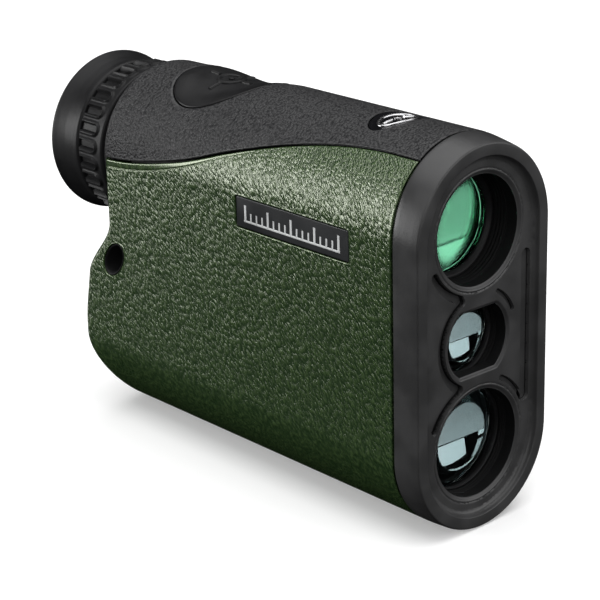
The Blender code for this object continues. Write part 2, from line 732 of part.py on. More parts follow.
def make_receiver():
    axis = RECEIVER_AXIS
    profile = [
        (RECEIVER_TUBE, 4.0 * MM),
        (RECEIVER_TUBE, 16 * MM),
        (6.0 * MM, 38 * MM),
        (6.0 * MM, 44 * MM),
        (4.6 * MM, 44 * MM),
        (4.6 * MM, 38 * MM),
        (9.3 * MM, 14 * MM),
        (10.3 * MM, 14 * MM),
        (10.3 * MM, 4.0 * MM),
    ]
    turned("receiver_tube", profile, axis, "inner_black")
    lens("receiver_lens", 9.9 * MM, (7.6 * MM, 11.0 * MM), (1.7 * MM, 1.4 * MM), axis, "clear_glass")
    tube("receiver_retaining_ring", 9.9 * MM, 9.3 * MM, (4.8 * MM, 5.6 * MM), axis, "inner_black")
    disc("bandpass_filter", 4.2 * MM, (38.6 * MM, 39.6 * MM), axis, "coated_glass", 16)
    sensor = [(0, 40.2 * MM), (2.6 * MM, 40.2 * MM), (2.6 * MM, 43.2 * MM), (3.2 * MM, 43.2 * MM)]
    sensor += [(3.2 * MM, 44.1 * MM), (0, 44.1 * MM)]
    turned("photodiode", sensor, axis, "steel", 16)
    low, high = (-9 * MM, 44.5 * MM, 8 * MM), (9 * MM, 45.9 * MM, 25 * MM)
    box("receiver_board", low, high, "board_green")


# ---------------------------------------------------------------- electronics and controls


def make_boards():
    box("main_board", (-11 * MM, 46.8 * MM, 40.2 * MM), (11 * MM, 76 * MM, 41.4 * MM), "board_green")
    box("processor_chip", (-5 * MM, 56 * MM, 38.4 * MM), (5 * MM, 66 * MM, 39.9 * MM), "chip_black")
    box("switch_board", (-5 * MM, 60 * MM, 66.4 * MM), (5 * MM, 70.4 * MM, 67.2 * MM), "board_green")


def make_measure_button():
    """The top button follows the crown. A stem under it works the switch."""
    size = (BUTTON_RADIUS, BUTTON_RADIUS)
    button = crown_patch("measure_button", size, BUTTON_DEPTH, 0.1 * MM, 1.1 * MM, "control_black")
    stem = as_cutter(post("measure_button_stem", 1.6 * MM, (68.7 * MM, 70.6 * MM), BUTTON_DEPTH))
    boolean(button, stem, "UNION")
    low = (-2.6 * MM, BUTTON_DEPTH - 2.6 * MM, 67.5 * MM)
    high = (2.6 * MM, BUTTON_DEPTH + 2.6 * MM, 68.1 * MM)
    box("measure_switch", low, high, "steel")


def post(name, radius, heights, depth):
    """A short upright cylinder."""
    bm = bmesh.new()
    length = heights[1] - heights[0]
    bmesh.ops.create_cone(bm, cap_ends=True, segments=16, radius1=radius, radius2=radius, depth=length)
    return place(name, mesh_of(name, bm), None, (0, FRONT + depth, sum(heights) / 2))


def make_menu_button():
    """A round side button whose stem reaches through the chassis to its switch."""
    start = 15.1 * MM
    stem = 12.9 * MM
    points = [(0, stem), (1.3 * MM, stem), (1.3 * MM, start), (MENU_RADIUS, start)]
    points += [(MENU_RADIUS, 16.2 * MM), (2.9 * MM, 16.5 * MM), (0, 16.5 * MM)]
    button = turned("menu_button", points, MENU_HEIGHT, "control_black")
    button.location = (0, FRONT + MENU_DEPTH, MENU_HEIGHT)
    button.rotation_euler = (0, math.pi / 2, 0)
    low = (11.3 * MM, MENU_DEPTH - 2.2 * MM, MENU_HEIGHT - 2.2 * MM)
    high = (12.3 * MM, MENU_DEPTH + 2.2 * MM, MENU_HEIGHT + 2.2 * MM)
    box("menu_switch", low, high, "steel")


def make_plates():
    crown_patch("top_badge", BADGE_SIZE, BADGE_DEPTH, 0.25 * MM, 0.9 * MM, "badge_silver")
    for name, side in (("nameplate_right", -1), ("nameplate_left", 1)):
        faces = sorted((side * (RADIUS - 0.15 * MM), side * (RADIUS - 1.15 * MM)))
        low = (faces[0], PLATE_DEPTH[0], PLATE_HEIGHT[0])
        high = (faces[1], PLATE_DEPTH[1], PLATE_HEIGHT[1])
        box(name, low, high, "control_black")


def make_lanyard_tube():
    """The lined passage right across the body that the wrist cord goes through."""
    centre = (LANYARD_DEPTH, LANYARD_HEIGHT)
    wall = 0.5 * MM
    outer = oval(LANYARD_SIZE, centre, 16, LANYARD_TILT)
    inner = oval(grown(LANYARD_SIZE, -wall), centre, 16, LANYARD_TILT)
    reach = RADIUS - 0.2 * MM
    sideways("lanyard_tube", [outer, inner], (-reach, reach), "inner_black")


# ---------------------------------------------------------------- battery

BATTERY_TUBE = 9.6 * MM
BATTERY_FRONT = 64.0 * MM


def make_battery_bay():
    axis = BATTERY_AXIS
    profile = [
        (0, 60.2 * MM),
        (BATTERY_TUBE, 60.2 * MM),
        (BATTERY_TUBE, 94.4 * MM),
        (8.7 * MM, 94.4 * MM),
        (8.7 * MM, 91.6 * MM),
        (8.1 * MM, 91.6 * MM),
        (8.1 * MM, 61.2 * MM),
        (0, 61.2 * MM),
    ]
    turned("battery_tube", profile, axis, "inner_black", 32)
    spring = bpy.data.curves.new("battery_spring", "CURVE")
    spring.dimensions = "3D"
    spring.bevel_depth = 0.3 * MM
    spring.bevel_resolution = 0
    spring.use_fill_caps = True
    turns, points_per_turn, wire_radius = 2.5, 12, 3.2 * MM
    start, end = 61.9 * MM, BATTERY_FRONT - 0.7 * MM
    line = spring.splines.new("POLY")
    count = int(turns * points_per_turn)
    line.points.add(count)
    for i, point in enumerate(line.points):
        angle = 2 * math.pi * i / points_per_turn
        depth = between(start, end, i / count)
        point.co = (wire_radius * math.cos(angle), depth, wire_radius * math.sin(angle), 1)
    place("battery_spring", spring, "steel", (0, FRONT, axis))


def make_battery():
    """A CR2 lithium cell, 27 mm long over its terminal, which faces the cap."""
    rear = BATTERY_FRONT + BATTERY_LENGTH
    shoulder = rear - 1.0 * MM
    profile = [(0, BATTERY_FRONT), (BATTERY_RADIUS, BATTERY_FRONT), (BATTERY_RADIUS, shoulder)]
    profile += [(3.0 * MM, shoulder), (3.0 * MM, rear), (0, rear)]
    turned("battery", profile, BATTERY_AXIS, "battery_wrap", 32)


def make_battery_cap():
    """The screw cap, its seal and its contact. A coin slot crosses the outer face."""
    axis = BATTERY_AXIS
    profile = [
        (0, 92.3 * MM),
        (8.4 * MM, 92.3 * MM),
        (8.4 * MM, 93.4 * MM),
        (7.6 * MM, 93.4 * MM),
        (7.6 * MM, 94.9 * MM),
        (CAP_RADIUS, 94.9 * MM),
        (CAP_RADIUS, CAP_FACE - 0.5 * MM),
        (CAP_RADIUS - 0.5 * MM, CAP_FACE),
        (0, CAP_FACE),
    ]
    cap = turned("battery_cap", profile, axis, "control_black", 32)
    low = (-6.5 * MM, CAP_FACE - 1.0 * MM, axis - 0.9 * MM)
    high = (6.5 * MM, CAP_FACE + 5 * MM, axis + 0.9 * MM)
    boolean(cap, as_cutter(box("coin_slot", low, high)))
    turns = [math.pi * i / 3 for i in range(6)]
    ring = [(8.2 * MM + 0.36 * MM * math.cos(a), 93.95 * MM + 0.36 * MM * math.sin(a)) for a in turns]
    turned("battery_cap_seal", ring, axis, "seal_rubber")
    disc("battery_contact", 5.5 * MM, (91.35 * MM, 91.95 * MM), axis, "brass")


# ---------------------------------------------------------------- fasteners


def make_screws():
    """Two screws hold the rear cover, one at each side of the battery."""
    seat = COVER_SCREW_SEAT * MM + 0.3 * MM
    for name, side in (("rear_cover_screw_right", -1), ("rear_cover_screw_left", 1)):
        shank = 0.6 * MM
        profile = [(0, 90 * MM), (shank, 90 * MM), (shank, seat), (1.3 * MM, seat)]
        profile += [(1.2 * MM, seat + 0.5 * MM), (0.6 * MM, seat + 0.7 * MM), (0, seat + 0.7 * MM)]
        turned(name, profile, COVER_SCREW[1], "steel", 16, side * COVER_SCREW[0])


# ---------------------------------------------------------------- build

clear_scene()
parts = collection("laser_rangefinder")
cutters = collection("cutters")
make_materials()
make_front_bezel()
make_top_armour()
make_lower_armour()
make_rear_cover()
make_chassis()
make_bulkheads()
make_objective()
make_prisms()
make_display()
make_eyepiece()
make_diopter_ring()
make_eyecup()
make_emitter()
make_receiver()
make_boards()
make_measure_button()
make_menu_button()
make_plates()
make_lanyard_tube()
make_battery_bay()
make_battery()
make_battery_cap()
make_screws()
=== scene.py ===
import itertools
import math

import bmesh
import bpy
import numpy as np
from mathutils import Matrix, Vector
from mathutils.geometry import delaunay_2d_cdt
from mathutils.kdtree import KDTree


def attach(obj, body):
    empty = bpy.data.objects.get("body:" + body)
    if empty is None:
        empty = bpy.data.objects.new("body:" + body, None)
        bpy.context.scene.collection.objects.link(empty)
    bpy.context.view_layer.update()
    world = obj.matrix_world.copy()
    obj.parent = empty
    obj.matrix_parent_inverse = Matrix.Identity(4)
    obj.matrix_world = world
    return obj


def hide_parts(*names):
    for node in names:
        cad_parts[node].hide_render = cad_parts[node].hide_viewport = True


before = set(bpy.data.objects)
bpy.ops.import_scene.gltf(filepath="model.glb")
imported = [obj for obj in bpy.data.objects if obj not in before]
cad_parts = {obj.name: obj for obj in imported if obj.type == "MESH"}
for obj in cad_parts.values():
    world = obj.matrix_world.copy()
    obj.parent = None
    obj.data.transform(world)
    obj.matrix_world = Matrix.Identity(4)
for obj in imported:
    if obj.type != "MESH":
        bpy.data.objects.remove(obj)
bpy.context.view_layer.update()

MM = 0.001
PI = math.pi
WELD = 2e-6  # metres
EDGE_STEP = 0.06  # how closely an edge is followed when distances to it are measured
ROW_RATIO = 0.866  # the gap between rows of a triangular grid, for a gap of 1 along them

# The instrument's form, in millimetres. Depths run back from the front rim.
LENGTH = 104.3
HEIGHT = 72.4
RADIUS = 16.5
FRONT = -LENGTH / 2
LOW_AXIS = RADIUS
HIGH_AXIS = HEIGHT - RADIUS
SEAM = 6.0
START = SEAM + 0.25
REAR = 87.0
EDGE_RADIUS = 1.8
CORNER_RADIUS = 9.0
BULGE_TOP = 42.0
OBJECTIVE_AXIS = 55.7
EYEPIECE_AXIS = 54.5
EMITTER_AXIS = 35.5
RECEIVER_AXIS = 16.0
BATTERY_AXIS = 20.0
SPLIT_GAP = 0.42
BUTTON_DEPTH = 66.0
DIP_DEPTH = 63.0
BADGE_DEPTH = 21.0
CAP_FACE = 97.4
PLATE = (16.7, 46.5, 50.3, 56.0)  # front, rear, bottom, top
MENU = (60.0, 46.0)  # depth, height
LANYARD = (85.1, 34.4, 2.45, 4.1, math.radians(40))  # depth, height, half-axes, lean
COVER_SCREW = (11.7, 22.0)  # x, height

# The section's length along a quarter arc, to the bottom, and all round. RUN and ROLL are how far
# the skin runs back, and then round its rear edge.
QUARTER = PI / 2 * RADIUS
HALF = 2 * QUARTER + HIGH_AXIS - LOW_AXIS
FULL = 2 * HALF
RUN = REAR - EDGE_RADIUS - START
ROLL = 2.6
REAR_BAND = (RUN - 0.6, 0.16)


# ---------------------------------------------------------------- mesh helpers


def smooth(t):
    t = np.clip(t, 0.0, 1.0)
    return t * t * (3 - 2 * t)


def lerp(a, b, t):
    return a + (b - a) * t


def stack(*columns):
    return np.stack(columns, axis=-1)


def spot(x, depth, z):
    """Points in the shared frame. Each coordinate is an array or one number."""
    return stack(*np.broadcast_arrays(x, FRONT + depth, z))


def turn_angles(count):
    return np.linspace(0, 2 * PI, count, endpoint=False)


def add_object(name, mesh, material, body, node=None):
    """A piece that rides on a body, in place of a CAD node where one is named."""
    obj = bpy.data.objects.new(name, mesh)
    bpy.context.scene.collection.objects.link(obj)
    mesh.materials.append(material)
    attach(obj, body)
    if node:
        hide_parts(node)
    return obj


def new_mesh(name, points, faces):
    """A mesh from points in millimetres."""
    mesh = bpy.data.meshes.new(name)
    mesh.from_pydata((np.asarray(points).reshape(-1, 3) * MM).tolist(), [], faces)
    return mesh


def sheet(name, points, faces, grain=None):
    """A smooth-shaded open mesh. Grain says how strong the surface grain is at each point."""
    mesh = new_mesh(name, points, faces.tolist())
    if grain is not None:
        layer = mesh.attributes.new("grain", "FLOAT", "POINT")
        layer.data.foreach_set("value", np.ascontiguousarray(grain, np.float32))
    mesh.validate()
    mesh.shade_smooth()
    return mesh


def grid_faces(rows, columns, closed=False):
    """Faces between closed rings of points. Closed joins the last ring to the first."""
    index = np.arange(rows * columns).reshape(rows, columns)
    below = np.roll(index, -1, axis=0) if closed else index[1:]
    here = index if closed else index[:-1]
    return stack(here, np.roll(here, -1, axis=1), np.roll(below, -1, axis=1), below).reshape(-1, 4)


def finish_mesh(mesh, angle=None):
    """Welds the mesh and turns every face out. Edges over the angle in degrees are sharp."""
    bm = bmesh.new()
    bm.from_mesh(mesh)
    bmesh.ops.remove_doubles(bm, verts=bm.verts, dist=WELD)
    bmesh.ops.recalc_face_normals(bm, faces=bm.faces)
    bm.to_mesh(mesh)
    bm.free()
    mesh.shade_smooth()
    if angle is not None:
        mesh.set_sharp_from_angle(angle=math.radians(angle))
    return mesh


def loft(name, rings, caps=(False, False), angle=None, closed=False):
    """A skin over rings of points. A cap closes its end with one face."""
    rings = np.array(rings)
    rows, columns = rings.shape[:2]
    faces = grid_faces(rows, columns, closed).tolist()
    if caps[0]:
        faces.append(list(range(columns)))
    if caps[1]:
        faces.append(list(range((rows - 1) * columns, rows * columns)))
    return finish_mesh(new_mesh(name, rings, faces), angle)


def joined(name, meshes, angle):
    """One welded mesh from several."""
    bm = bmesh.new()
    for mesh in meshes:
        bm.from_mesh(mesh)
    made = bpy.data.meshes.new(name)
    bm.to_mesh(made)
    bm.free()
    return finish_mesh(made, angle)


def turned_ring(radius, depth, height, count, x=0.0):
    angles = turn_angles(count)
    return spot(x + radius * np.sin(angles), depth, height + radius * np.cos(angles))


def turned(name, profile, height, material, body, node, count, angle=35):
    """A piece turned about an axis along Y from (radius, depth) pairs."""
    rings = [turned_ring(radius, depth, height, count) for radius, depth in profile]
    add_object(name, loft(name, rings + rings[:1], angle=angle), material, body, node)


def rounded(points, radius, steps=4):
    """The polyline with each inner corner rounded."""
    out = [points[0]]
    for before, corner, after in zip(points, points[1:], points[2:]):
        before, corner, after = (np.array(p, float) for p in (before, corner, after))
        one, two = before - corner, after - corner
        reach = min(radius, np.linalg.norm(one) / 2, np.linalg.norm(two) / 2)
        one, two = one / np.linalg.norm(one) * reach, two / np.linalg.norm(two) * reach
        for i in range(steps + 1):
            t = i / steps
            out.append(tuple(corner + one * (1 - t) ** 2 + two * t**2))
    out.append(points[-1])
    return out


def resampled(loop, step):
    """The closed loop with its points about this far apart."""
    closed = np.concatenate([loop, loop[:1]])
    lengths = np.linalg.norm(np.roll(loop, -1, axis=0) - loop, axis=1)
    total = np.concatenate([[0], np.cumsum(lengths)])
    count = max(12, int(round(total[-1] / step)))
    at = np.linspace(0, total[-1], count, endpoint=False)
    return stack(np.interp(at, total, closed[:, 0]), np.interp(at, total, closed[:, 1]))


def oval_loop(size, centre, count, tilt=0.0):
    angles = turn_angles(count)
    u, v = size[0] * np.cos(angles), size[1] * np.sin(angles)
    c, s = math.cos(tilt), math.sin(tilt)
    return stack(centre[0] + u * c - v * s, centre[1] + u * s + v * c)


def circle(radius, centre, count):
    return oval_loop((radius, radius), centre, count)


def rect_loop(low, high, radius, steps=8):
    """A rectangle with rounded corners, anticlockwise."""
    points = []
    corners = ((high[0], high[1], 0), (low[0], high[1], 90), (low[0], low[1], 180), (high[0], low[1], 270))
    for x, y, turn in corners:
        cx = x - radius if x == high[0] else x + radius
        cy = y - radius if y == high[1] else y + radius
        for i in range(steps + 1):
            a = math.radians(turn + 90 * i / steps)
            points.append((cx + radius * math.cos(a), cy + radius * math.sin(a)))
    return np.array(points)


def tree_of(points):
    tree = KDTree(len(points))
    for i, (u, v) in enumerate(points):
        tree.insert((u, v, 0), i)
    tree.balance()
    return tree


def edge_tree(loops):
    return tree_of(np.concatenate([resampled(loop, EDGE_STEP) for loop in loops]))


def distances(tree, points):
    return np.array([tree.find((u, v, 0))[2] for u, v in points])


def sideways(path, closed=True):
    """The unit direction to the left of a path at each point."""
    ahead = np.roll(path, -1, axis=0) - np.roll(path, 1, axis=0) if closed else np.gradient(path, axis=0)
    normal = stack(-ahead[:, 1], ahead[:, 0])
    return normal / np.linalg.norm(normal, axis=1, keepdims=True)


def beside(loop, offset):
    """The loop moved sideways by an offset."""
    return loop + sideways(loop) * offset


def region(loops, inside, spacing, rings=(0.07, 0.15, 0.26, 0.42), extra=(), band=None):
    """Points, triangles and edge distances of a flat region inside the first loop and outside
    the others. Rings are the distances from each edge at which a row of points follows it. Band
    is (v, step) for closer rows past v."""
    tree = edge_tree(loops)
    fixed, edges = [], []
    for loop in loops:
        start = len(fixed)
        fixed.extend(map(tuple, loop))
        edges.extend((start + i, start + (i + 1) % len(loop)) for i in range(len(loop)))
    loose = []
    for loop, ring, way in itertools.product(loops, rings, (-1, 1)):
        points = beside(loop, way * ring)
        points = points[inside(*points.T)]
        if len(points):
            loose.append(points[distances(tree, points) > 0.9 * ring])
    low, high = loops[0].min(axis=0), loops[0].max(axis=0)
    rows = np.arange(low[1], high[1], spacing * ROW_RATIO)
    if band:
        rows = np.concatenate([rows[rows < band[0]], np.arange(band[0], high[1], band[1])])
    u, v = np.meshgrid(np.arange(low[0], high[0] + spacing, spacing), rows)
    u = u + (np.arange(len(rows)) % 2)[:, None] * spacing / 2
    grid = stack(u.ravel(), v.ravel())
    grid = grid[inside(*grid.T)]
    keep = distances(tree, grid) > rings[-1] + (0.08 if band else 0.3 * spacing)
    if len(extra):
        keep &= distances(tree_of(extra), grid) > 0.35 * spacing
        extra = extra[inside(*extra.T)]
        loose.append(extra[distances(tree, extra) > 0.05])
    loose.append(grid[keep])
    coordinates = [Vector(p) for points in [fixed, *loose] for p in points]
    found = delaunay_2d_cdt(coordinates, edges, [], 0, 1e-4)
    points, faces = np.array([tuple(p) for p in found[0]]), np.array(found[2])
    middle = points[faces].mean(axis=1)
    used, faces = np.unique(faces[inside(*middle.T)], return_inverse=True)
    return points[used], faces.reshape(-1, 3), distances(tree, points[used])


def edge_profile(distance, radius):
    """How far a rounded edge drops at a distance in from the edge."""
    t = np.clip(1 - distance / radius, 0, 1)
    return radius * (1 - np.sqrt(np.maximum(0.0, 1 - t * t)))


def thicken(obj, thickness):
    solid = obj.modifiers.new("thickness", "SOLIDIFY")
    solid.thickness = thickness * MM
    solid.offset = -1


def rib(path, width, height, place, closed=False):
    """A rounded raised line along a path on a surface. Place turns (u, v, height) into points."""
    path = np.asarray(path, float)
    left = sideways(path, closed)
    half = [(-0.5, -0.12), (-0.5, 0.35 * height), (-0.38, 0.8 * height), (-0.18, height)]
    section = half + [(-at, lift) for at, lift in half[::-1]]
    lines = [place(*(path + left * at * width).T, lift) for at, lift in section]
    rings = np.array(lines).transpose(1, 0, 2)
    return loft("rib", rings, (not closed, not closed), 50, closed)


def line_path(start, end, count=8):
    return np.linspace(start, end, count)


# ---------------------------------------------------------------- shader helpers


class Shader:
    """A Principled material with short ways to add nodes."""

    def __init__(self, name, colour, roughness, metallic=0.0, **more):
        self.material = bpy.data.materials.new(name)
        self.material.use_nodes = True
        self.tree = self.material.node_tree
        self.surface = self.tree.nodes["Principled BSDF"]
        self.set("Base Color", (*colour, 1.0))
        self.set("Roughness", roughness)
        self.set("Metallic", metallic)
        for key, value in more.items():
            self.set(key.replace("_", " "), value)
        self.place = self.node("ShaderNodeTexCoord").outputs["Object"]

    def set(self, key, value):
        self.surface.inputs[key].default_value = value

    def node(self, kind, **settings):
        made = self.tree.nodes.new(kind)
        for key, value in settings.items():
            setattr(made, key, value)
        return made

    def link(self, output, target):
        self.tree.links.new(output, target)

    def fill(self, node, values):
        for key, value in values.items():
            if hasattr(value, "links"):
                self.link(value, node.inputs[key])
            else:
                node.inputs[key].default_value = value

    def stretch(self, scale, rotation=(0, 0, 0)):
        """Coordinates turned first, then scaled along the turned axes."""
        turn = self.node("ShaderNodeMapping")
        self.fill(turn, {"Vector": self.place, "Rotation": rotation})
        made = self.node("ShaderNodeMapping")
        self.fill(made, {"Vector": turn.outputs["Vector"], "Scale": scale})
        return made.outputs["Vector"]

    def noise(self, scale, detail=3.0, roughness=0.55, place=None, distortion=0.0):
        made = self.node("ShaderNodeTexNoise")
        values = {"Scale": scale, "Detail": detail, "Roughness": roughness, "Distortion": distortion}
        self.fill(made, {"Vector": place or self.place, **values})
        return made.outputs["Fac"]

    def cells(self, scale, feature, place=None, **values):
        made = self.node("ShaderNodeTexVoronoi", feature=feature)
        self.fill(made, {"Vector": place or self.place, "Scale": scale, **values})
        return made.outputs["Distance"]

    def math(self, operation, *values):
        made = self.node("ShaderNodeMath", operation=operation)
        self.fill(made, dict(enumerate(values)))
        return made.outputs[0]

    def ramp(self, value, low, high, out_low=0.0, out_high=1.0):
        made = self.node("ShaderNodeMapRange", interpolation_type="SMOOTHSTEP")
        self.fill(made, {0: value, 1: low, 2: high, 3: out_low, 4: out_high})
        return made.outputs[0]

    def mix(self, factor, a, b):
        """One colour turning into another."""
        made = self.node("ShaderNodeMix", data_type="RGBA")
        self.fill(made, {0: factor, 6: (*a, 1.0), 7: (*b, 1.0)})
        return made.outputs[2]

    def attribute(self, name):
        return self.node("ShaderNodeAttribute", attribute_name=name).outputs["Fac"]

    def bump(self, height, distance):
        made = self.node("ShaderNodeBump")
        self.fill(made, {"Height": height, "Distance": distance, "Strength": 1.0})
        self.drive("Normal", made.outputs["Normal"])
        if self.surface.inputs["Coat Weight"].default_value > 0:
            self.drive("Coat Normal", made.outputs["Normal"])

    def drive(self, key, output):
        self.link(output, self.surface.inputs[key])


# ---------------------------------------------------------------- materials


def green_rubber():
    """Green rubber with a leather grain of short slanting strokes, its colour darkened in the grain's creases
    as painted shade.
    """
    s = Shader("green_armour", (0.040, 0.075, 0.022), 0.28, Specular_IOR_Level=0.8)
    s.set("Specular Tint", (0.90, 1.0, 0.72, 1.0))
    s.set("Coat Weight", 0.38)
    s.set("Coat Roughness", 0.23)
    grain = s.attribute("grain")
    slant = (math.radians(-51), 0, 0)
    strokes = s.cells(1.0, "SMOOTH_F1", s.stretch((2750, 800, 2750), slant), Smoothness=0.18)
    fine = s.noise(1.0, 2, 0.6, s.stretch((5000, 1400, 5400), slant), 0.2)
    height = s.math("MULTIPLY_ADD", strokes, -1.0, s.math("MULTIPLY", fine, 0.4))
    s.bump(s.math("MULTIPLY", height, grain), 0.000150)
    # Painted shade: the colour turns darker in the creases between the raised strokes.
    crease_shaded_colour = s.mix(s.ramp(strokes, 0.15, 0.62), (0.054, 0.092, 0.032), (0.015, 0.034, 0.011))
    s.drive("Coat Weight", s.ramp(grain, 0.0, 0.8, 0.08, 0.38))
    s.drive("Base Color", crease_shaded_colour)
    s.drive("Roughness", s.ramp(fine, 0.3, 0.7, 0.24, 0.31))
    return s.material


def black_rubber():
    """Black rubber with a fine pebbled grain, its colour darkened in the hollows between the pebbles as
    painted shade.
    """
    s = Shader("black_armour", (0.030, 0.030, 0.031), 0.42, Specular_IOR_Level=0.24)
    grain = s.attribute("grain")
    pebbles = s.cells(2150, "SMOOTH_F1", Smoothness=0.14)
    fine = s.noise(3000, 2, 0.6)
    height = s.math("MULTIPLY_ADD", pebbles, -0.8, s.math("MULTIPLY", fine, 0.6))
    s.bump(s.math("MULTIPLY", height, grain), 0.00022)
    # Painted shade: the colour turns darker in the low hollows between the pebbles.
    s.drive("Base Color", s.mix(s.ramp(height, -0.45, 0.2), (0.007, 0.007, 0.008), (0.046, 0.046, 0.047)))
    return s.material


def moulded(name, colour, roughness, scale, depth, level):
    """Moulded plastic or smooth rubber with a very fine surface and uneven gloss."""
    s = Shader(name, colour, roughness, Specular_IOR_Level=level)
    fine = s.noise(scale, 3, 0.6)
    broad = s.noise(140, 2, 0.5)
    s.bump(fine, depth)
    s.drive("Roughness", s.ramp(broad, 0.3, 0.7, roughness - 0.05, roughness + 0.06))
    lighter = tuple(c * 1.35 for c in colour)
    s.drive("Base Color", s.mix(s.ramp(broad, 0.35, 0.65), colour, lighter))
    return s.material


def glass(name, tint, mirror=0.0, blur=0.0):
    """Optical glass, or with a mirror share the coating of a lens's back face."""
    body = (0.93, 0.97, 0.96) if mirror == 0.0 else tint
    s = Shader(name, body, blur, mirror, Transmission_Weight=1.0, IOR=1.52, Specular_IOR_Level=0.5)
    s.set("Specular Tint", (*tint, 1.0))
    s.drive("Roughness", s.ramp(s.noise(60, 2), 0.4, 0.8, blur, blur + 0.012))
    return s.material


def metal(name, colour, roughness):
    """Brushed metal."""
    s = Shader(name, colour, roughness, 1.0)
    brushed = s.noise(1.0, 3, 0.6, s.stretch((300, 300, 9000)))
    s.bump(brushed, 0.000012)
    s.drive("Roughness", s.ramp(brushed, 0.3, 0.7, roughness - 0.06, roughness + 0.08))
    darker = tuple(c * 0.82 for c in colour)
    s.drive("Base Color", s.mix(s.ramp(s.noise(220, 2), 0.35, 0.7), colour, darker))
    return s.material


def circuit_board():
    """Green solder mask over a net of tracks."""
    s = Shader("board_green", (0.02, 0.11, 0.045), 0.38, Coat_Weight=0.3)
    edge = s.ramp(s.cells(650, "DISTANCE_TO_EDGE"), 0.02, 0.07)
    s.drive("Base Color", s.mix(edge, (0.035, 0.17, 0.065), (0.015, 0.085, 0.034)))
    s.bump(edge, 0.00003)
    return s.material


# Moulded materials: (colour, roughness, grain scale, grain depth, specular level).
MOULDED = {
    "bezel_black": ((0.032, 0.032, 0.0325), 0.36, 2600, 0.000018, 0.27),
    "control_black": ((0.010, 0.010, 0.0105), 0.46, 2400, 0.00002, 0.14),
    "cup_rubber": ((0.0095, 0.0095, 0.010), 0.44, 1800, 0.000015, 0.14),
    "button_black": ((0.0095, 0.0095, 0.010), 0.40, 3000, 0.000012, 0.16),
    "cover_black": ((0.019, 0.019, 0.020), 0.52, 1500, 0.00006, 0.22),
    "plate_black": ((0.016, 0.017, 0.018), 0.36, 3600, 0.000008, 0.22),
    "baffle_black": ((0.0030, 0.0030, 0.0032), 0.7, 2600, 0.00002, 0.15),
    "inner_black": ((0.008, 0.008, 0.008), 0.6, 2400, 0.00002, 0.22),
    "badge_gloss": ((0.006, 0.006, 0.007), 0.14, 400, 0.000002, 0.22),
    "mark_white": ((0.50, 0.51, 0.51), 0.42, 2600, 0.000008, 0.22),
    "chip_black": ((0.012, 0.012, 0.013), 0.40, 3000, 0.00003, 0.22),
    "battery_wrap": ((0.045, 0.070, 0.120), 0.28, 900, 0.00001, 0.22),
    "seal_rubber": ((0.010, 0.010, 0.010), 0.62, 2400, 0.00004, 0.22),
}
# Glasses as (tint,), and the coatings of the lenses' back faces as (tint, mirror share, roughness).
GLASSES = {
    "coated_glass": ((0.30, 1.0, 0.62),),
    "green_coating": ((0.26, 0.84, 0.50), 0.31, 0.06),
    "clear_glass": ((0.85, 1.0, 1.0),),
    "clear_coating": ((0.70, 0.92, 0.96), 0.18, 0.03),
    "eye_glass": ((0.55, 0.75, 1.0),),
    "eye_coating": ((0.35, 0.55, 0.85), 0.16, 0.0),
}
# Metals: (colour, roughness).
METALS = {
    "badge_silver": ((0.56, 0.56, 0.57), 0.24),
    "steel": ((0.50, 0.50, 0.51), 0.30),
    "brass": ((0.60, 0.42, 0.16), 0.32),
}


# ---------------------------------------------------------------- body form


def top_drop(depth):
    """How far the crown lies below its straight line. It dips where the button is."""
    dish = np.maximum(0.0, 1 - ((depth - DIP_DEPTH) / 12) ** 2) ** 2
    return dish + 0.6 * smooth((depth - DIP_DEPTH) / 24)


def split(depth):
    """How far round from the crown the black armour meets the green."""
    return 10.3 + 16.3 * smooth((depth - 12) / 76)


def rear_depth(z):
    """Depth of the rear face, which steps back into a bulge below the eyepiece."""
    step = 7.4 * smooth((BULGE_TOP - z) / 12.4)
    return REAR + step + 2.3 * smooth((BULGE_TOP - 8 - z) / 16)


def rear_radius(z):
    return lerp(CORNER_RADIUS, EDGE_RADIUS, smooth(z / LOW_AXIS))


def outline(along, depth):
    """x, z and the outward direction at a distance along the section from the crown."""
    along = np.mod(along, FULL)
    side = np.where(along <= HALF, -1.0, 1.0)
    along = np.minimum(along, FULL - along)
    top = along < QUARTER
    low = along > HALF - QUARTER
    angle = np.where(top, along, np.where(low, HALF - along, QUARTER)) / RADIUS
    out_x = side * np.sin(angle)
    out_z = np.where(top, np.cos(angle), np.where(low, -np.cos(angle), 0.0))
    x = RADIUS * out_x
    z = np.where(top, HIGH_AXIS, np.where(low, LOW_AXIS, HIGH_AXIS - (along - QUARTER)))
    z = z + np.where(top, RADIUS - top_drop(depth), RADIUS) * out_z
    return x, z, out_x, out_z


def skin(u, v):
    """Points, outward directions and depths of the outside. U runs round the section from the
    crown, and v runs back from the seam, round the rear edge past RUN."""
    ahead = np.clip(v / RUN, 0, 1)
    x, z, out_x, out_z = outline(u, START + np.minimum(v, RUN))
    radius = rear_radius(z)
    turn = np.clip((v - RUN) / ROLL, 0, 1) * PI / 2
    depth = lerp(START, rear_depth(z) - radius, ahead) + radius * np.sin(turn)
    inward = radius * (1 - np.cos(turn))
    normal = stack(out_x * np.cos(turn), np.sin(turn), out_z * np.cos(turn))
    return spot(x - out_x * inward, depth, z - out_z * inward), normal, depth


def side_uv(depth, z, side):
    """The skin's u and v at a place on a flat side."""
    u = QUARTER + HIGH_AXIS - z
    u = np.where(z > HIGH_AXIS, RADIUS * np.arccos(np.clip((z - HIGH_AXIS) / RADIUS, 0, 1)), u)
    run = rear_depth(z) - rear_radius(z) - START
    return stack(u if side < 0 else FULL - u, (depth - START) * RUN / run)


def crown_uv(loop):
    """The skin's u and v of an (x, depth) loop on the crown."""
    return stack(-RADIUS * np.arcsin(loop[:, 0] / RADIUS), loop[:, 1] - START)


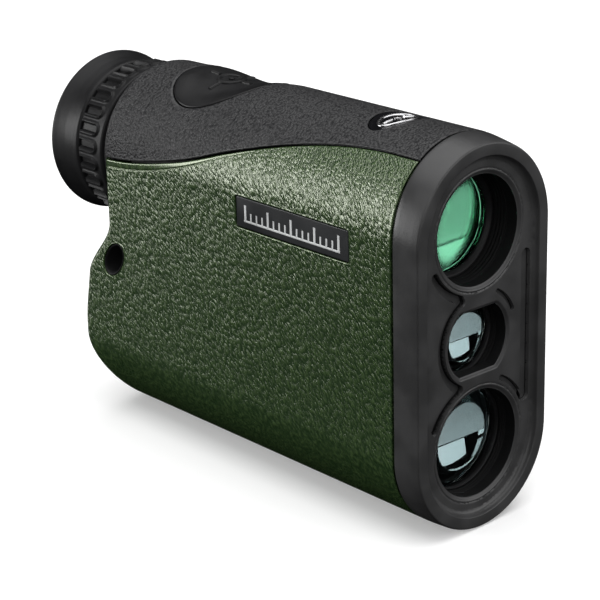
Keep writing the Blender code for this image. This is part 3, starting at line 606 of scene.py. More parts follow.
def on_crown(x, depth, height):
    """Points at a height over the crown."""
    slope = np.clip(x / RADIUS, -1, 1)
    rise = np.sqrt(1 - slope**2)
    z = HIGH_AXIS + (RADIUS - top_drop(depth)) * rise
    return spot(x + slope * height, depth, z + rise * height)


def armour_start(v):
    """The split in the skin's own u."""
    return split(START + np.minimum(v, RUN))


def between_loop(low, high):
    """The outer loop of a skin between two lines along the body."""
    v = np.concatenate([np.linspace(0, RUN, 320), RUN + np.linspace(0, ROLL, 24)[1:]])
    near, far = low(v), high(v)
    front = np.linspace(near[0], far[0], 180)[1:-1]
    back = np.linspace(far[-1], near[-1], 180)[1:-1]
    sides = [stack(near, v)[::-1], stack(front, np.zeros(len(front)))]
    return np.concatenate(sides + [stack(far, v), stack(back, np.full(len(back), v[-1]))])


def inside_loop(u, v, loop):
    """Whether each point is inside a loop that every ray from its middle crosses once."""
    middle = loop.mean(axis=0)
    du, dv = (loop - middle).T
    order = np.argsort(np.arctan2(dv, du))
    at = np.arctan2(v - middle[1], u - middle[0])
    limit = np.interp(at, np.arctan2(dv, du)[order], np.hypot(du, dv)[order], period=2 * PI)
    return np.hypot(u - middle[0], v - middle[1]) < limit


def outside_all(u, v, holes):
    return ~np.any([inside_loop(u, v, hole) for hole in holes], axis=0)


# ---------------------------------------------------------------- armour


def skin_piece(name, node, uv, faces, drop, grain, thickness, material):
    """Armour on the body's skin, sunk by a drop at each point."""
    points, normal, _ = skin(*uv.T)
    mesh = finish_mesh(sheet(name, points - normal * drop[:, None], faces, grain))
    thicken(add_object(name, mesh, material, "housing", node), thickness)


def make_lower_armour(material):
    """The green armour, with a lip and a groove along its upper edges."""
    low = lambda v: armour_start(v) + SPLIT_GAP / 2
    high = lambda v: FULL - low(v)
    depth, height, a, b, tilt = LANYARD
    front, rear, bottom, top = PLATE
    lanyard = oval_loop((a + 0.12, b + 0.12), (depth, height), 64, tilt)
    plate = rect_loop((front - 0.14, bottom - 0.14), (rear + 0.14, top + 0.14), 0.35)
    plate = resampled(plate, 0.35)
    holes = [side_uv(*loop.T, side) for side in (-1, 1) for loop in (lanyard, plate)]
    holes.append(side_uv(*circle(3.62, MENU, 64).T, 1))

    def inside(u, v):
        good = (v > 0) & (v < RUN + ROLL) & (u > low(v)) & (u < high(v))
        return good & outside_all(u, v, holes)

    def lip_at(v):
        return lerp(0.1, 1.35, smooth((START + v - 34) / 40))

    along = np.arange(30, RUN + ROLL, 0.32)
    line = low(along) + lip_at(along)
    offsets = (-0.4, -0.26, -0.16, -0.08, 0.0, 0.08, 0.16, 0.26, 0.4)
    rows = [stack(line + offset, along) for offset in offsets]
    rows += [stack(FULL - row[:, 0], row[:, 1]) for row in rows]
    extra = np.concatenate(rows)
    uv, faces, edge = region([between_loop(low, high)] + holes, inside, 0.75, extra=extra, band=REAR_BAND)
    u, v = uv.T
    shown = smooth((skin(u, v)[2] - 36) / 26)
    past = np.minimum(u, FULL - u) - low(v) - lip_at(v)
    drop = edge_profile(edge, 0.24)
    drop += 0.20 * np.exp(-((past / 0.13) ** 2)) * shown
    drop += 0.05 * smooth(-past / 0.2) * shown
    grain = smooth((edge - 0.12) / 0.35) * lerp(1.0, smooth((past - 0.1) / 0.3), shown)
    skin_piece("lower_armour_skin", "lower_armour", uv, faces, drop, grain, 0.9, material)


def button_loop(margin=0.0):
    """The outline of the measure button: round at the rear, and narrower towards the front."""
    a = turn_angles(160)
    x = 10.55 * np.sin(a) * (1 + 0.17 * np.cos(a))
    return beside(stack(x, BUTTON_DEPTH + 10.7 * np.cos(a)), margin)


def badge_loop(margin=0.0):
    return beside(oval_loop((6.2, 3.85), (0, BADGE_DEPTH), 96)[::-1], margin)


def make_top_armour(material):
    """The black armour over the crown, a little raised round the button."""
    end = lambda v: armour_start(v) - SPLIT_GAP / 2
    button = crown_uv(button_loop(0.16))
    holes = [button, crown_uv(badge_loop(0.1))]

    def inside(u, v):
        return (v > 0) & (v < RUN + ROLL) & (np.abs(u) < end(v)) & outside_all(u, v, holes)

    outer = between_loop(lambda v: -end(v), end)
    uv, faces, edge = region([outer] + holes, inside, 0.7, band=REAR_BAND)
    around = distances(edge_tree([button]), uv)
    drop = edge_profile(edge, 0.3) - 0.14 * np.exp(-(((around - 0.75) / 0.45) ** 2))
    grain = smooth((edge - 0.15) / 0.4) * smooth((around - 0.5) / 0.5)
    skin_piece("top_armour_skin", "top_armour", uv, faces, drop, grain, 1.0, material)


def crown_cap(name, loop, rows, place=on_crown):
    """A closed piece over a loop on the crown. Rows are (inset, height) from its underside up
    over the edge and in to the middle."""
    centre = loop.mean(axis=0)
    reach = np.linalg.norm(loop - centre, axis=1).mean()
    lines = [(centre + (loop - centre) * (1 - inset / reach), height) for inset, height in rows]
    return loft(name, [place(*line.T, height) for line, height in lines], (True, True), 40)


def make_button(material):
    """The measure button, a little dished, with a raised sighting mark."""
    rows = [(0.5, -1.05), (0.0, -1.0), (0.0, -0.22), (0.03, -0.10), (0.10, -0.01), (0.20, 0.05), (0.36, 0.08)]
    rows += [(inset, 0.08 - 0.30 * smooth((inset - 0.4) / 4.2)) for inset in np.linspace(0.6, 10.3, 34)]
    cap = crown_cap("cap", button_loop(), rows)
    dish = lambda x, depth, height: on_crown(x, depth, height - 0.23)
    width, height = 0.85, 0.42
    middle = np.array([0, BUTTON_DEPTH + 0.2])
    marks = [rib(circle(2.5, middle, 64), width, height, dish, True)]
    for turn in range(4):
        way = np.array([math.cos(turn * PI / 2), math.sin(turn * PI / 2)])
        marks.append(rib(line_path(middle + 3.4 * way, middle + 5.6 * way), width, height, dish))
    rows = [(0, -0.1), (0, 0.32), (0.08, 0.40), (0.3, 0.42)]
    marks.append(crown_cap("dot", circle(0.6, middle, 24), rows, dish))
    mesh = joined("measure_button_cap", [cap] + marks, 40)
    add_object("measure_button_cap", mesh, material, "measure_button", "measure_button")


def make_badge(gloss, silver):
    """A glossy black oval sunk in the crown, with a plain chrome sighting mark."""
    floor = -0.42
    rows = [(0.5, -1.0), (0.0, -0.9), (0.0, floor), (0.05, -0.30), (0.15, -0.25), (0.3, -0.27), (0.6, -0.38)]
    rows += [(inset, floor) for inset in (1.0, 1.8, 2.8, 3.8, 4.8)]
    plate = crown_cap("top_badge_plate", badge_loop(), rows)
    add_object("top_badge_plate", plate, gloss, "housing", "top_badge")
    sunk = lambda x, depth, height: on_crown(x, depth, height + floor)
    middle, height = (0, BADGE_DEPTH), 0.26
    marks = [rib(oval_loop((4.3, 2.3), middle, 96), 0.62, height, sunk, True)]
    for side in (-1, 1):
        path = line_path((side * 1.5, BADGE_DEPTH), (side * 3.7, BADGE_DEPTH))
        marks.append(rib(path, 0.5, height, sunk))
    rows = [(0, -0.1), (0, 0.2), (0.12, 0.26), (0.7, 0.28)]
    marks.append(crown_cap("dot", circle(0.8, middle, 32), rows, sunk))
    add_object("top_badge_mark", joined("top_badge_mark", marks, 40), silver, "housing")


def make_nameplates(material, white):
    """Satin plates let into the sides, each with a plain printed scale."""
    front, rear, bottom, top = PLATE
    middle, base, pitch, thick = (front + rear) / 2, bottom + 1.35, 1.55, 0.07
    for name, side in (("nameplate_right", -1), ("nameplate_left", 1)):
        place = lambda depth, z, height: spot(side * (RADIUS - 0.17 + height), depth, z)
        rings = []
        for inset, height in ((0.0, -0.95), (0.0, -0.12), (0.03, -0.05), (0.08, -0.01), (0.16, 0.0)):
            line = rect_loop((front + inset, bottom + inset), (rear - inset, top - inset), 0.3)
            rings.append(place(*line.T, height))
        mesh = loft(name + "_plate", rings, (True, True), 40)
        add_object(name + "_plate", mesh, material, "housing", name)
        marks = []
        for i in range(-8, 9):
            at = middle + i * pitch
            tall, wide = (3.0, 0.55) if i % 4 == 0 else (1.7, 0.4)
            marks.append(rib(line_path((at, base), (at, base + tall)), wide, thick, place))
        ends = [(middle + reach, base) for reach in (-12.75, 12.75)]
        marks.append(rib(line_path(*ends, 24), 0.4, thick, place))
        add_object(name + "_scale", joined(name + "_scale", marks, 40), white, "housing")


def make_menu_button(material):
    """The round button on the left side, with two raised bars."""
    place = lambda along, up, x: spot(x, MENU[0] + along, MENU[1] + up)
    profile = rounded([(0.01, 15.1), (3.4, 15.1), (3.4, 16.25), (2.75, 16.62), (0.01, 16.68)], 0.3)
    rings = [place(*circle(radius, (0, 0), 64).T, x) for radius, x in profile]
    marks = [loft("cap", rings, (True, True), 40)]
    flat = lambda along, up, height: place(along, up, 16.64 + height)
    for up in (-0.75, 0.75):
        marks.append(rib(line_path((-1.3, up), (1.3, up)), 0.5, 0.2, flat))
    mesh = joined("menu_button_cap", marks, 40)
    add_object("menu_button_cap", mesh, material, "menu_button", "menu_button")


def make_lanyard_tube(material):
    """The lined passage for the wrist cord, flared at both ends."""
    depth, height, a, b, tilt = LANYARD
    ends = [(-16.3, -0.02), (-16.42, -0.12), (-16.38, -0.24), (-16.1, -0.36), (-15.4, -0.45), (-14.4, -0.5)]
    profile = ends + [(-x, grow) for x, grow in ends[::-1]]
    profile += [(-x, 0.0) for x in (-15.9, -5.0, 5.0, 15.9)]
    rings = []
    for x, grow in profile + profile[:1]:
        rings.append(spot(x, *oval_loop((a + grow, b + grow), (depth, height), 48, tilt).T))
    mesh = loft("lanyard_lining", rings, angle=50)
    add_object("lanyard_lining", mesh, material, "housing", "lanyard_tube")


# ---------------------------------------------------------------- front bezel


def stadium(radius, lean):
    """A stadium loop of (x, z) points. The crown leans down a little towards the front."""
    a = np.linspace(0, PI, 57)
    top = stack(radius * np.cos(a), HIGH_AXIS - lean + radius * np.sin(a))
    bottom = stack(-radius * np.cos(a), LOW_AXIS - radius * np.sin(a))
    t = np.linspace(0, 1, 34)[1:-1, None]
    return np.concatenate([top, lerp(top[-1], bottom[0], t), bottom, lerp(bottom[-1], top[0], t)])


LEAN = 0.75
FACE_EDGE = 14.1
FLOOR = 1.30
BACK = 3.9

# The rim from the inner edge of its flat round the outside to the seam: (radius, depth).
RIM = [
    (FACE_EDGE, 0.0), (15.92, 0.0), (16.10, 0.05), (16.21, 0.17), (16.27, 0.42), (16.36, 1.6),
    (16.45, 3.4), (16.5, 4.8), (16.5, 5.6), (16.34, 5.88), (15.9, 5.95), (14.3, 5.95),
]
# The lip down into the recess, as (distance in from the face's edge, depth).
LIP = np.array([
    (0.0, 0.0), (0.06, 0.012), (0.12, 0.06), (0.17, 0.16), (0.23, 0.42), (0.35, 0.75), (0.55, 1.02),
    (0.78, 1.16), (0.90, 1.20), (0.98, FLOOR), (1.4, FLOOR),
])


# Each distance below is negative inside its shape.


def sd_stadium(x, z, radius):
    return np.hypot(x, z - np.clip(z, LOW_AXIS, HIGH_AXIS - LEAN)) - radius


def sd_circle(x, z, axis, radius):
    return np.hypot(x, z - axis) - radius


def sd_emitter(x, z, radius, flat):
    return np.maximum(sd_circle(x, z, EMITTER_AXIS, radius), np.abs(z - EMITTER_AXIS) - flat)


def sd_arc(x, z, axis, radius, start, end, half_width):
    """Distance from a round-ended arc groove. Angles are in degrees, anticlockwise."""
    angle = np.degrees(np.arctan2(z - axis, x)) % 360
    middle, reach = (start + end) / 2 % 360, (end - start) / 2
    off = (angle - middle + 180) % 360 - 180
    clamped = np.radians(middle + np.clip(off, -reach, reach))
    cx, cz = radius * np.cos(clamped), axis + radius * np.sin(clamped)
    return np.hypot(x - cx, z - cz) - half_width


def sd_slot(x, z, cx, low, high, half_width):
    return np.hypot(x - cx, z - np.clip(z, low + half_width, high - half_width)) - half_width


# The face's grooves as (axis, radius, start angle, end angle, half width), and its slot.
LEFT_GROOVES = (
    (OBJECTIVE_AXIS, 12.35, 209, 248, 0.80), (EMITTER_AXIS, 9.25, 118, 239, 0.82),
    (RECEIVER_AXIS, 12.35, 115, 152, 0.80),
)
RIGHT_GROOVES = ((EMITTER_AXIS, 9.35, 24, 60, 0.42), (RECEIVER_AXIS, 12.4, 26, 62, 0.50))
SLOT = (11.85, 20.9, 49.7, 1.05)
OPENINGS = (("objective", OBJECTIVE_AXIS, 9.96), ("receiver", RECEIVER_AXIS, 10.12))
EMITTER_RADIUS, EMITTER_FLAT = 7.34, 5.85


def emitter_loop():
    reach = math.asin(EMITTER_FLAT / EMITTER_RADIUS)
    a = np.linspace(-reach, reach, 40)
    right = EMITTER_RADIUS * stack(np.cos(a), np.sin(a))
    return resampled(np.concatenate([right, -right]), 0.35) + np.array([0, EMITTER_AXIS])


def face_depth(x, z):
    """Depth of the recessed front face below the rim."""
    depth = np.interp(-sd_stadium(x, z, FACE_EDGE), LIP[:, 0], LIP[:, 1])
    left = np.min([sd_arc(x, z, *groove) for groove in LEFT_GROOVES], axis=0)
    right = np.min([sd_arc(x, z, *groove) for groove in RIGHT_GROOVES], axis=0)
    slot = sd_slot(x, z, *SLOT)
    depth = depth + 1.10 * smooth((0.06 - left) / 0.17)
    depth += 0.75 * smooth((0.06 - right) / 0.17)
    depth += 0.75 * smooth((0.10 - slot) / 0.22)
    depth += 0.018 * np.sin(z * 2 * PI / 0.62) * smooth((-0.42 - slot) / 0.2)
    for _, axis, radius in OPENINGS:
        out = sd_circle(x, z, axis, radius)
        depth += 0.42 * smooth((0.80 - out) / 0.80)
        depth += 0.13 * np.exp(-(((out - 0.98) / 0.11) ** 2))
    out = sd_emitter(x, z, EMITTER_RADIUS, EMITTER_FLAT)
    depth += 0.42 * smooth((0.60 - out) / 0.60)
    return depth


def groove_loop(axis, radius, start, end, half_width):
    """The outline of a round-ended arc groove."""
    a = np.radians(np.linspace(start, end, 60))
    arc = stack(np.cos(a), np.sin(a))
    cap = np.linspace(0, PI, 12)[1:-1]
    ends = []
    for middle, turn in ((arc[-1], a[-1]), (arc[0], a[0] + PI)):
        ends.append(radius * middle + half_width * stack(np.cos(turn + cap), np.sin(turn + cap)))
    outer, inner = (radius + half_width) * arc, (radius - half_width) * arc[::-1]
    loop = np.concatenate([outer, ends[0], inner, ends[1]]) + np.array([0, axis])
    return resampled(loop, 0.22)


def make_bezel(material, wall_material):
    """The front bezel: its rim, its recessed face and the walls of its three openings."""
    openings = [circle(radius, (0, axis), 150) for _, axis, radius in OPENINGS] + [emitter_loop()]

    def inside(x, z):
        out = sd_stadium(x, z, FACE_EDGE + 1e-4)
        for _, axis, radius in OPENINGS:
            out = np.maximum(out, -sd_circle(x, z, axis, radius))
        return np.maximum(out, -sd_emitter(x, z, EMITTER_RADIUS, EMITTER_FLAT)) < 0

    rings = (0.06, 0.12, 0.17, 0.23, 0.35, 0.45, 0.55, 0.66, 0.78, 0.90, 0.98)
    grooves = [groove_loop(*groove) for groove in LEFT_GROOVES + RIGHT_GROOVES]
    cx, low, high, half = SLOT
    grooves.append(resampled(rect_loop((cx - half, low), (cx + half, high), half - 0.01, 12), 0.22))
    offsets = (-0.16, -0.10, -0.05, 0.0, 0.06, 0.13)
    lines = np.concatenate([beside(loop, offset) for loop in grooves for offset in offsets])
    xz, faces, _ = region([stadium(FACE_EDGE, LEAN)] + openings, inside, 0.27, rings, lines)
    x, z = xz.T
    face = sheet("face", spot(x, face_depth(x, z), z), faces)
    back = sheet("back", spot(x, BACK, z), faces)
    rim = []
    for radius, depth in [RIM[0]] + rounded(RIM, 0.16, 3) + [(FACE_EDGE, BACK)]:
        outside = depth < BACK - 0.05 or radius > FACE_EDGE + 0.05
        x, z = stadium(radius, LEAN * (1 - depth / SEAM) if outside else LEAN).T
        rim.append(spot(x, depth, z))
    walls = []
    for x, z in (loop.T for loop in openings):
        rows = [spot(x, lerp(face_depth(x, z), BACK, t), z) for t in (0, 0.04, 0.12, 0.5, 1)]
        walls.append(loft("wall", rows))
    mesh = joined("front_bezel_shell", [face, back, loft("rim", rim)] + walls, 55)
    add_object("front_bezel_shell", mesh, material, "housing", "front_bezel")
    mesh.materials.append(wall_material)
    for polygon in mesh.polygons:
        x, y, z = polygon.center / MM
        if y - FRONT > 1.85 and abs(polygon.normal.y) < 0.5 and sd_stadium(x, z, FACE_EDGE - 0.5) < 0:
            polygon.material_index = 1


# ---------------------------------------------------------------- optics


def baffled(start, end, radius, pitch=0.75, cut=0.16):
    """A bore with fine grooves across it that keep stray light down: (radius, depth) pairs."""
    rows = []
    d = start
    while d + pitch <= end:
        rows += [(radius, d), (radius + cut, d + 0.35 * pitch), (radius, d + 0.7 * pitch)]
        d += pitch
    return rows + [(radius, end)]


def make_optics(baffle, ring_black, green, clear, eye):
    """The lens seats, rings and lenses that show through the openings. Each of the last three
    materials is (glass, coating)."""
    seat = [(11.2, 4.0), (10.05, 4.0)] + baffled(4.2, 7.4, 9.98)
    seat += [(9.9, 15.5), (9.0, 15.6), (9.0, 28.0), (11.2, 28.0)]
    ring = [(9.9, 8.6), (9.9, 7.35), (9.5, 7.30), (9.3, 7.5), (8.95, 8.05), (8.9, 8.35), (9.9, 8.6)]
    axis = OBJECTIVE_AXIS
    make_seat("objective", "_seat", "objective_cell", seat, ring, axis, baffle, ring_black, 128)
    lens = "objective_front_lens"
    make_lens("objective_lens", 9.8, (9.2, 11.2), (0.45, 0.88), axis, green, "housing", lens)
    lens = "objective_rear_lens"
    make_lens("objective_field_glass", 9.8, (13.6, 15.1), (-0.8, 0.0001), axis, green, "housing", lens)
    tube = [(7.6, 4.0), (7.45, 4.0)] + baffled(4.05, 5.6, 7.36, 0.5)
    tube += [(7.1, 9.6), (6.4, 9.6), (3.4, 34), (3.4, 40), (5.2, 40), (5.2, 34), (7.6, 14)]
    ring = [(7.2, 5.75), (7.2, 5.15), (6.9, 5.1), (6.75, 5.3), (6.7, 5.75)]
    axis = EMITTER_AXIS
    make_seat("emitter", "_barrel", "emitter_tube", tube, ring, axis, baffle, ring_black, 96)
    make_lens("emitter_glass", 7.0, (6.3, 8.4), (0.9, 1.4), axis, clear, "housing", "emitter_lens")
    tube = [(10.9, 4.0), (10.2, 4.0)] + baffled(4.05, 6.0, 10.14, 0.5)
    tube += [(10.1, 14), (9.3, 14), (4.6, 38), (4.6, 44), (6.0, 44), (6.0, 38), (10.9, 16)]
    ring = [(9.98, 6.35), (9.98, 5.75), (9.85, 5.7), (9.72, 5.95), (9.68, 6.35)]
    axis = RECEIVER_AXIS
    make_seat("receiver", "_barrel", "receiver_tube", tube, ring, axis, baffle, ring_black, 128)
    make_lens("receiver_glass", 9.9, (7.2, 11.2), (1.5, 2.3), axis, clear, "housing", "receiver_lens")
    lens = "eye_lens"
    make_lens("eye_glass_lens", 9.8, (93.6, 96.2), (0.9, 0.8), EYEPIECE_AXIS, eye, "eyepiece_optics", lens)


def make_seat(channel, ending, node, seat, ring, axis, baffle, ring_black, count):
    """A channel's seat and the ring that holds its lens in."""
    turned(channel + ending, seat, axis, baffle, "housing", node, count)
    held = channel + "_retaining_ring"
    turned(channel + "_ring", rounded(ring, 0.06, 2), axis, ring_black, "housing", held, count)


def make_lens(name, radius, depths, sags, height, materials, body, node):
    """A lens whose rim runs between two depths. Each face bulges outwards by its sag, and the
    back face has its own coating."""
    (start, end), (front_sag, rear_sag) = depths, sags
    bevel, steps = 0.22, 26
    clear = radius - bevel

    def face(sag, edge, way):
        sphere = (clear**2 + sag**2) / (2 * abs(sag))
        rows = []
        for i in range(steps + 1):
            r = clear * i / steps
            rise = sphere - math.sqrt(sphere**2 - r**2)
            rows.append((max(r, 1e-3), edge + way * (sag - math.copysign(rise, sag))))
        return rows

    rim = [(radius, start + bevel), (radius, end - bevel)]
    profile = face(front_sag, start, -1) + rim + face(rear_sag, end, 1)[::-1]
    rings = [turned_ring(r, depth, height, 96) for r, depth in profile]
    mesh = loft(name, rings, (True, True), 35)
    add_object(name, mesh, materials[0], body, node)
    mesh.materials.append(materials[1])
    middle = FRONT + (start + end) / 2
    for polygon in mesh.polygons:
        if polygon.center.y / MM > middle and polygon.normal.y > 0.5:
            polygon.material_index = 1


# ---------------------------------------------------------------- eyepiece


def make_eyepiece(cup, black, baffle):
    """The eyecup, the neck it stands on, the focusing ring and what shows inside."""
    axis = EYEPIECE_AXIS
    cup_profile = [
        (13.05, 90.6), (14.4, 90.6), (14.45, 96.5), (15.15, 96.55), (15.5, 97.1), (15.48, 98.6),
        (15.72, 100.6), (16.12, 102.6), (16.40, 103.7), (16.38, 104.1), (16.16, 104.3),
        (15.4, 104.3), (15.0, 104.05), (13.7, 102.2), (13.05, 101.0),
    ]
    cup_profile = rounded(cup_profile, 0.28)
    turned("eyecup_rubber", cup_profile, axis, cup, "eyecup", "eyecup", 192, angle=50)
    band = [(15.0, 87.25), (15.0, 88.3), (14.7, 88.38), (12.85, 88.38), (12.85, 87.25)]
    turned("eyepiece_neck", rounded(band, 0.12, 2), axis, black, "housing", "eyepiece_collar", 128)
    barrel = [(11.9, 71), (11.9, 84), (12.5, 84.2), (12.5, 101.3), (12.35, 101.6), (11.45, 101.6)]
    barrel += baffled(99.2, 101.4, 11.3, 0.5, 0.1)[::-1] + [(11.3, 71)]
    turned("eyepiece_sleeve", barrel, axis, baffle, "housing", "eyepiece_barrel", 128)
    holder = [(10.2, 78), (10.2, 99.0), (10.9, 99.2), (11.0, 99.0), (11.0, 76), (8.4, 76), (8.4, 78)]
    turned("eyepiece_cell", holder, axis, baffle, "eyepiece_optics", "eyepiece_lens_cell", 128)
    ring = rounded([(10.0, 98.2), (10.0, 99.0), (9.7, 99.1), (9.1, 98.75), (9.0, 98.2)], 0.06, 2)
    turned("eyepiece_ring", ring, axis, black, "eyepiece_optics", "eyepiece_retaining_ring", 128)
    make_diopter_ring(black)


def make_diopter_ring(material):
    """The focusing ring. Each flute is a U-shaped hollow, open towards the eyecup, inside a
    raised U-shaped edge."""
    flutes, radius, core = 28, 15.60, 14.7
    start, end, bend, half_width = 88.6, 96.2, 91.4, 0.80
    count = flutes * 20
    a, depth = np.meshgrid(turn_angles(count), np.linspace(start, end, 52))
    pitch = 2 * PI / flutes
    off = (a / pitch - np.floor(a / pitch) - 0.5) * pitch * 15.9
    u = np.hypot(off, np.minimum(depth - bend, 0)) - half_width
    ridge = 0.46 * np.exp(-(((u - 0.36) / 0.24) ** 2)) * smooth((end - 0.3 - depth) / 0.5)
    r = radius - 1.3 * smooth((0.06 - u) / 0.30) + ridge
    r -= edge_profile(depth - start, 0.5) + edge_profile(end - depth, 0.35)
    points = spot(r * np.sin(a), depth, EYEPIECE_AXIS + r * np.cos(a))
    front, rear = (turned_ring(core, at, EYEPIECE_AXIS, count) for at in (start, end))
    mesh = loft("diopter_ring_grip", [front, *points, rear, front], angle=45)
    add_object("diopter_ring_grip", mesh, material, "diopter_ring", "diopter_ring")


# ---------------------------------------------------------------- rear


def make_rear_cover(material, steel):
    """The rear face inside the armour's edge, and its two screws."""
    along = np.linspace(0, FULL, 320, endpoint=False)
    x, z, out_x, out_z = outline(along, np.full(len(along), REAR))
    inward = rear_radius(z) + 0.35
    outer = resampled(stack(x - out_x * inward, z - out_z * inward), 0.6)
    centre = (0, EYEPIECE_AXIS)
    holes = [circle(12.85, centre, 120), circle(9.5, (0, BATTERY_AXIS), 120)]
    holes += [circle(1.55, (side * COVER_SCREW[0], COVER_SCREW[1]), 32) for side in (-1, 1)]

    def inside(x, z):
        return inside_polygon(x, z, outer) & outside_all(x, z, holes)

    step = np.concatenate([circle(r, centre, 260) for r in (16.35, 16.45, 16.55, 16.65, 16.75)])
    xz, faces, edge = region([outer] + holes, inside, 0.8, extra=step)
    x, z = xz.T
    around = np.hypot(x, z - EYEPIECE_AXIS)
    depth = lerp(np.minimum(rear_depth(z), 87.05), rear_depth(z), smooth((around - 16.4) / 0.3))
    depth -= edge_profile(edge, 0.28)
    mesh = finish_mesh(sheet("rear_cover_face", spot(x, depth, z), faces))
    turn_back(mesh)
    thicken(add_object("rear_cover_face", mesh, material, "housing", "rear_cover"), 1.1)
    for name, side in (("rear_cover_screw_right", -1), ("rear_cover_screw_left", 1)):
        make_screw(name, side * COVER_SCREW[0], COVER_SCREW[1], steel)


def turn_back(mesh):
    """Turns an open sheet's faces to look to the rear."""
    if sum(polygon.normal.y * polygon.area for polygon in mesh.polygons) < 0:
        mesh.flip_normals()


def inside_polygon(x, z, loop):
    """Whether each point is inside any closed loop."""
    inside = np.zeros(np.shape(x), bool)
    for (x0, z0), (x1, z1) in zip(loop, np.roll(loop, -1, axis=0)):
        crosses = (z0 > z) != (z1 > z)
        slope = (x1 - x0) * (z - z0) / (z1 - z0 if z1 != z0 else 1e-9) + x0
        inside ^= crosses & (x < slope)
    return inside


def make_screw(name, x, height, material):
    """A socket-head screw. The socket is a hexagon."""
    seat, count = 95.8, 48
    hexagon = 0.62 * math.cos(PI / 6) / np.cos((turn_angles(count) % (PI / 3)) - PI / 6)
    head = [(0.6, seat), (1.3, seat), (1.3, seat + 0.42), (1.2, seat + 0.60), (0.95, seat + 0.68)]
    socket = [(hexagon * 1.06, seat + 0.68), (hexagon, seat + 0.62), (hexagon, seat + 0.2)]
    rings = [turned_ring(r, depth, height, count, x) for r, depth in [(0.6, 90.0)] + head + socket]
    mesh = loft(name + "_head", rings, (True, True), 35)
    add_object(name + "_head", mesh, material, "housing", name)


def make_battery_cap(material):
    """The screw cap, with a ribbed edge, a coin slot and two plain ticks."""
    face_radius, ribs, count = 8.3, 36, 180
    edge = circle(face_radius, (0, BATTERY_AXIS), count)

    def mark(half_width, half_height, up, corner, step):
        low, high = BATTERY_AXIS + up - half_height, BATTERY_AXIS + up + half_height
        return resampled(rect_loop((-half_width, low), (half_width, high), corner), step)

    slot = mark(6.5, 0.85, 0, 0.8, 0.3)
    ticks = [mark(0.22, 0.9, up, 0.2, 0.15) for up in (-6.1, 6.1)]
    lines = [beside(loop, offset) for loop in [slot] + ticks for offset in (-0.12, -0.04, 0.04, 0.12)]
    inside = lambda x, z: np.hypot(x, z - BATTERY_AXIS) < face_radius + 1e-4
    xz, faces, _ = region([edge], inside, 0.5, extra=np.concatenate(lines))
    depth = np.full(len(xz), CAP_FACE)
    for loop, sunk in [(slot, 1.1)] + [(tick, 0.2) for tick in ticks]:
        away = distances(edge_tree([loop]), xz)
        within = np.where(inside_polygon(*xz.T, loop), away, -away)
        depth -= sunk * smooth((within + 0.12) / 0.24)
    face = sheet("face", spot(xz[:, 0], depth, xz[:, 1]), faces)
    # The side as (radius, depth, share of the ribs).
    side = [
        (face_radius, CAP_FACE, 0), (8.6, CAP_FACE, 0), (8.8, CAP_FACE - 0.08, 0.3),
        (8.95, CAP_FACE - 0.3, 0.8), (9.0, CAP_FACE - 0.7, 1), (9.0, 95.3, 1), (8.95, 95.0, 0.6),
        (8.8, 94.9, 0), (7.6, 94.9, 0), (7.6, 93.4, 0), (8.4, 93.4, 0), (8.4, 92.3, 0), (0.01, 92.3, 0),
    ]
    wave = 0.16 * smooth(0.5 + 0.9 * np.cos(turn_angles(count) * ribs))
    rings = []
    for radius, at, share in side:
        x, z = ((edge - (0, BATTERY_AXIS)) / face_radius * (radius - wave * share)[:, None]).T
        rings.append(spot(x, at, BATTERY_AXIS + z))
    mesh = joined("battery_cap_grip", [face, loft("side", rings)], 45)
    add_object("battery_cap_grip", mesh, material, "battery_cap", "battery_cap")


# ---------------------------------------------------------------- stage


def make_stage():
    """A white floor. It glows a little, and doesn't light the object from below."""
    size = 1.25
    corners = [(-size, -size, 0), (size, -size, 0), (size, size, 0), (-size, size, 0)]
    mesh = bpy.data.meshes.new("floor")
    mesh.from_pydata(corners, [], [(0, 1, 2, 3)])
    floor = bpy.data.objects.new("floor", mesh)
    bpy.context.scene.collection.objects.link(floor)
    paper = Shader("floor", (0.82, 0.82, 0.82), 0.9, Specular_IOR_Level=0.1)
    paper.set("Emission Color", (1, 1, 1, 1))
    paper.set("Emission Strength", 0.232)
    mesh.materials.append(paper.material)
    floor.visible_diffuse = False
    floor.visible_glossy = False


def softbox(name, location, target, size, radiance):
    """An area light with a given brightness. Size is (width, height) in metres."""
    light = bpy.data.lights.new(name, "AREA")
    light.shape = "RECTANGLE"
    light.size, light.size_y = size
    light.energy = radiance * PI * size[0] * size[1]
    obj = bpy.data.objects.new(name, light)
    obj.location = location
    direction = Vector(target) - Vector(location)
    obj.rotation_euler = direction.to_track_quat("-Z", "Y").to_euler()
    bpy.context.scene.collection.objects.link(obj)


def make_camera():
    """A long lens, in front of the right side and above it."""
    camera = bpy.data.cameras.new("camera")
    camera.lens = 120.88
    camera.sensor_width = 36
    camera.clip_start = 0.01
    obj = bpy.data.objects.new("camera", camera)
    obj.location = Vector((-239.218, -275.656, 163.868)) * MM
    obj.rotation_euler = [math.radians(angle) for angle in (69.846956, 1.371547, -41.868585)]
    bpy.context.scene.collection.objects.link(obj)
    bpy.context.scene.camera = obj


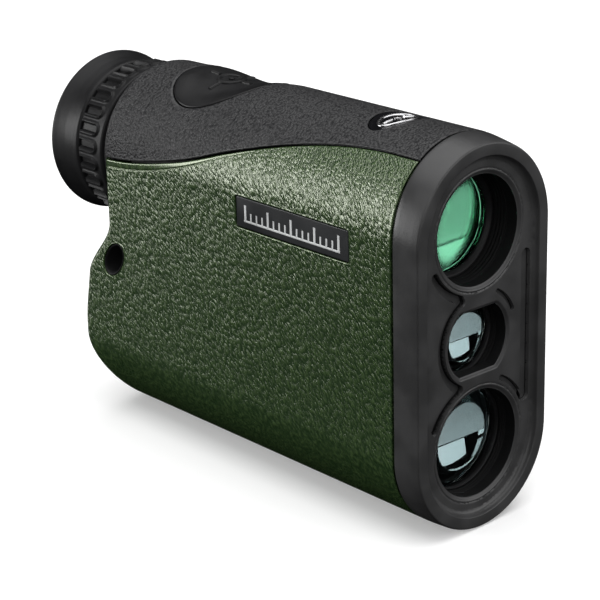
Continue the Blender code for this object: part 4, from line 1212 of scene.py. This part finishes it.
def make_lights():
    """A white world that only the camera sees, and five softboxes."""
    world = bpy.data.worlds.new("world")
    bpy.context.scene.world = world
    world.use_nodes = True
    background = world.node_tree.nodes["Background"]
    background.inputs["Color"].default_value = (1, 1, 1, 1)
    background.inputs["Strength"].default_value = 0.98
    for rays in ("diffuse", "glossy", "transmission"):
        setattr(world.cycles_visibility, rays, False)
    centre = (0, 0, 0.04)
    softbox("overhead", (0, 0.2, 3.0), (0, 0.2, 0), (4.0, 4.0), 2.9)
    softbox("left_rear", (-0.56, 0.56, 0.15), centre, (0.36, 0.36), 11.3)
    softbox("front_right", (0.45, -0.82, 0.33), centre, (1.25, 0.62), 3.0)
    softbox("front_left", (-0.80, -0.60, 0.62), centre, (0.7, 0.7), 2.15)
    softbox("low_left", (-0.70, -0.55, 0.07), centre, (0.5, 0.12), 3.0)
    bpy.context.scene.view_settings.view_transform = "Standard"


# ---------------------------------------------------------------- assembly

look = {"green_armour": green_rubber(), "black_armour": black_rubber(), "board_green": circuit_board()}
for make, kinds in ((moulded, MOULDED), (glass, GLASSES), (metal, METALS)):
    look.update({name: make(name, *values) for name, values in kinds.items()})

make_lower_armour(look["green_armour"])
make_top_armour(look["black_armour"])
make_bezel(look["bezel_black"], look["baffle_black"])
make_optics(
    look["baffle_black"], look["control_black"],
    (look["coated_glass"], look["green_coating"]),
    (look["clear_glass"], look["clear_coating"]),
    (look["eye_glass"], look["eye_coating"]),
)
make_eyepiece(look["cup_rubber"], look["control_black"], look["baffle_black"])
make_button(look["button_black"])
make_badge(look["badge_gloss"], look["badge_silver"])
make_nameplates(look["plate_black"], look["mark_white"])
make_menu_button(look["button_black"])
make_lanyard_tube(look["control_black"])
make_rear_cover(look["cover_black"], look["steel"])
make_battery_cap(look["control_black"])

# The CAD nodes that stay in view take the looks of their slots.
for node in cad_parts.values():
    if node.hide_render:
        continue
    kind = node.data.materials[0].name.split(".")[0]
    node.data.materials.clear()
    node.data.materials.append(look[kind])

make_stage()
make_camera()
make_lights()
